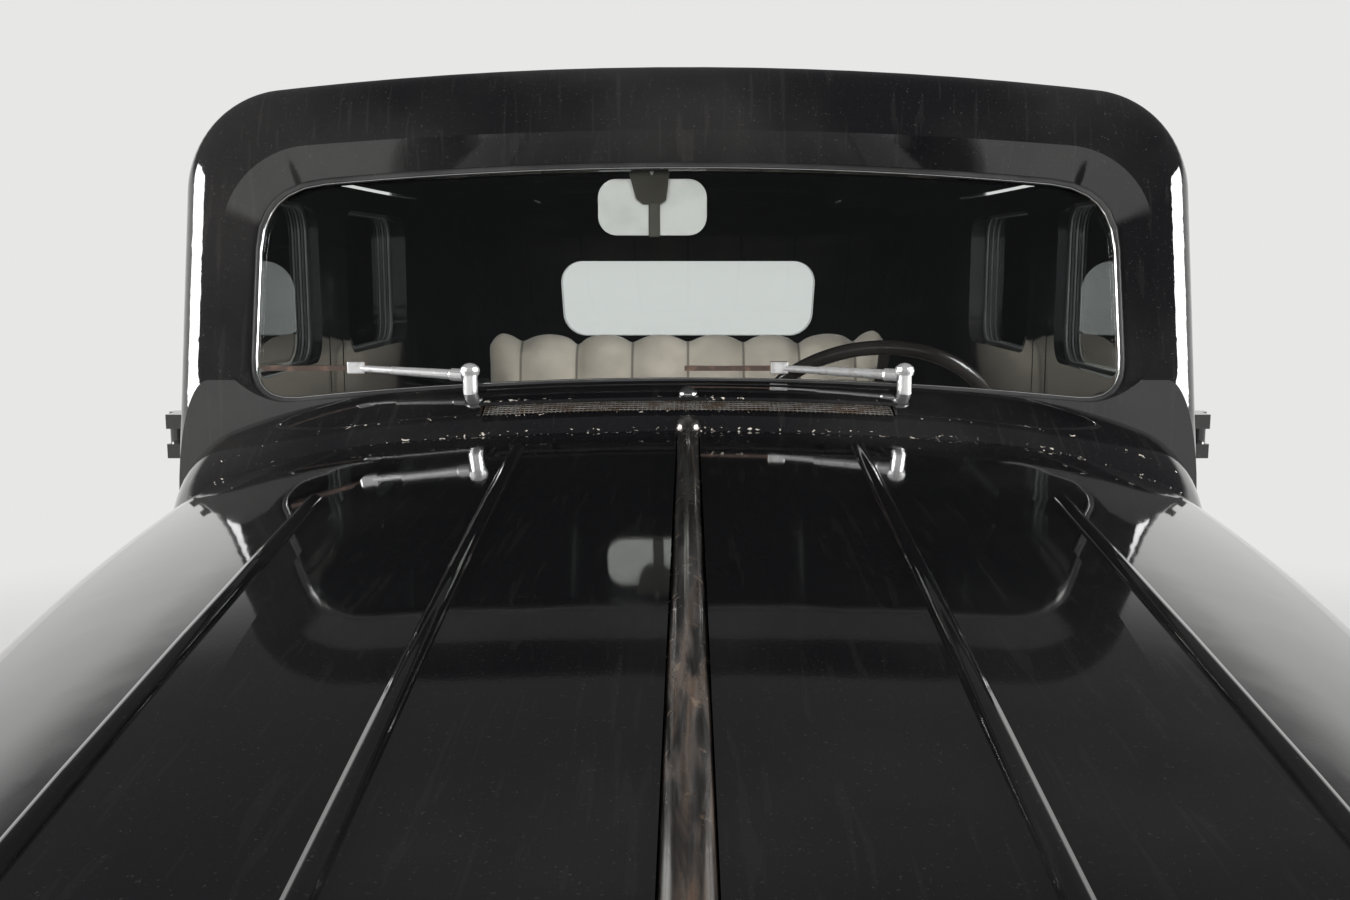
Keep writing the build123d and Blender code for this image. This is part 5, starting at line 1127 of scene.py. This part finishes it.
class SEDAN_OT_stage(bpy.types.Operator):
    """Plain floor, sky of pale walls and a dim ceiling, soft lamps and the camera"""
    bl_idname = "sedan.stage"
    bl_label = "Stage"

    def execute(self, context):
        look = context.scene.sedan_stage
        finish = Finish("stage_floor")
        shade = finish.mixed(finish.grain(1.5, 3.0) * 0.2, look.floor, tuple(c * 0.95 for c in look.floor))
        x, y, _ = finish.axes()
        far = (x * x + y * y).root().ease(2.2, 4.6)
        paint = finish.principled(Base_Color=shade, Roughness=0.75)
        glow = finish.node("ShaderNodeEmission", None, {"Color": look.backdrop, "Strength": 1.0})["Emission"]
        blended = finish.node("ShaderNodeMixShader", None, {0: far, 1: paint, 2: glow})["Shader"]
        mesh = bpy.data.meshes.new("floor")
        edge = FLOOR_HALF
        mesh.from_pydata([(-edge, -edge, 0), (edge, -edge, 0), (edge, edge, 0), (-edge, edge, 0)], [], [(0, 1, 2, 3)])
        mesh.materials.append(finish.done(blended))
        linked("floor", mesh)

        sky = Finish("studio", sky=True)
        way = sky.node("ShaderNodeTexCoord")["Generated"]
        height = sky.node("ShaderNodeSeparateXYZ", None, {"Vector": way})["Z"]
        colour = sky.mixed(height.ease(WALL_TOP, CEILING_EDGE), look.backdrop, look.ceiling)
        light = sky.node("ShaderNodeBackground", None, {"Color": colour})["Background"]
        sky.node("ShaderNodeOutputWorld", None, {"Surface": light})
        context.scene.world = sky.material

        for row in LAMPS:
            soft_lamp(*row)

        lens = bpy.data.cameras.new("photo_camera")
        lens.lens, lens.sensor_width, lens.sensor_fit = look.lens, 36.0, "HORIZONTAL"
        lens.shift_x = PHOTO_SHIFT / PHOTO_WIDTH
        lens.clip_start = 0.01
        camera = linked("photo_camera", lens)
        camera.location = CAMERA_PLACE
        camera.rotation_euler = (math.pi / 2 - CAMERA_DOWN, 0, 0)
        context.scene.camera = camera
        context.scene.view_settings.view_transform = "Standard"
        return {"FINISHED"}


class SEDAN_PT_looks(bpy.types.Panel):
    """Sizes, colours and the operators of the sedan's looks"""
    bl_idname = "SEDAN_PT_looks"
    bl_label = "Sedan"
    bl_space_type = "VIEW_3D"
    bl_region_type = "UI"
    bl_category = "Sedan"

    def draw(self, context):
        for group_name, group in GROUPS.items():
            box = self.layout.box()
            box.label(text=group.__doc__)
            for key in group.__annotations__:
                box.prop(getattr(context.scene, group_name), key)
        for operator in OPERATORS:
            self.layout.operator(operator.bl_idname)


GROUPS = {"sedan_paint": SedanPaint, "sedan_cloth": SedanCloth, "sedan_trim": SedanTrim, "sedan_stage": SedanStage}
OPERATORS = (
    SEDAN_OT_body_finish, SEDAN_OT_bright_finish, SEDAN_OT_glass_finish, SEDAN_OT_running_gear_finish,
    SEDAN_OT_cabin_finish, SEDAN_OT_front_seat, SEDAN_OT_rear_seat, SEDAN_OT_windshield_seal, SEDAN_OT_window_trim,
    SEDAN_OT_door_handles, SEDAN_OT_mirror_bracket, SEDAN_OT_wiper_fittings, SEDAN_OT_vent_wire,
    SEDAN_OT_hood_fittings, SEDAN_OT_tyres, SEDAN_OT_wheel_nuts, SEDAN_OT_lamp_rings, SEDAN_OT_dials, SEDAN_OT_stage,
)


def register():
    for group in GROUPS.values():
        bpy.utils.register_class(group)
    for name, group in GROUPS.items():
        setattr(bpy.types.Scene, name, PointerProperty(type=group))
    for operator in OPERATORS:
        bpy.utils.register_class(operator)
    bpy.utils.register_class(SEDAN_PT_looks)


def unregister():
    bpy.utils.unregister_class(SEDAN_PT_looks)
    for operator in reversed(OPERATORS):
        bpy.utils.unregister_class(operator)
    for name in GROUPS:
        delattr(bpy.types.Scene, name)
    for group in reversed(GROUPS.values()):
        bpy.utils.unregister_class(group)


def main():
    """Registers everything and runs each operator in order."""
    register()
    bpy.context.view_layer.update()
    for operator in OPERATORS:
        group, name = operator.bl_idname.split(".")
        getattr(getattr(bpy.ops, group), name)()


if __name__ == "__main__":
    main()
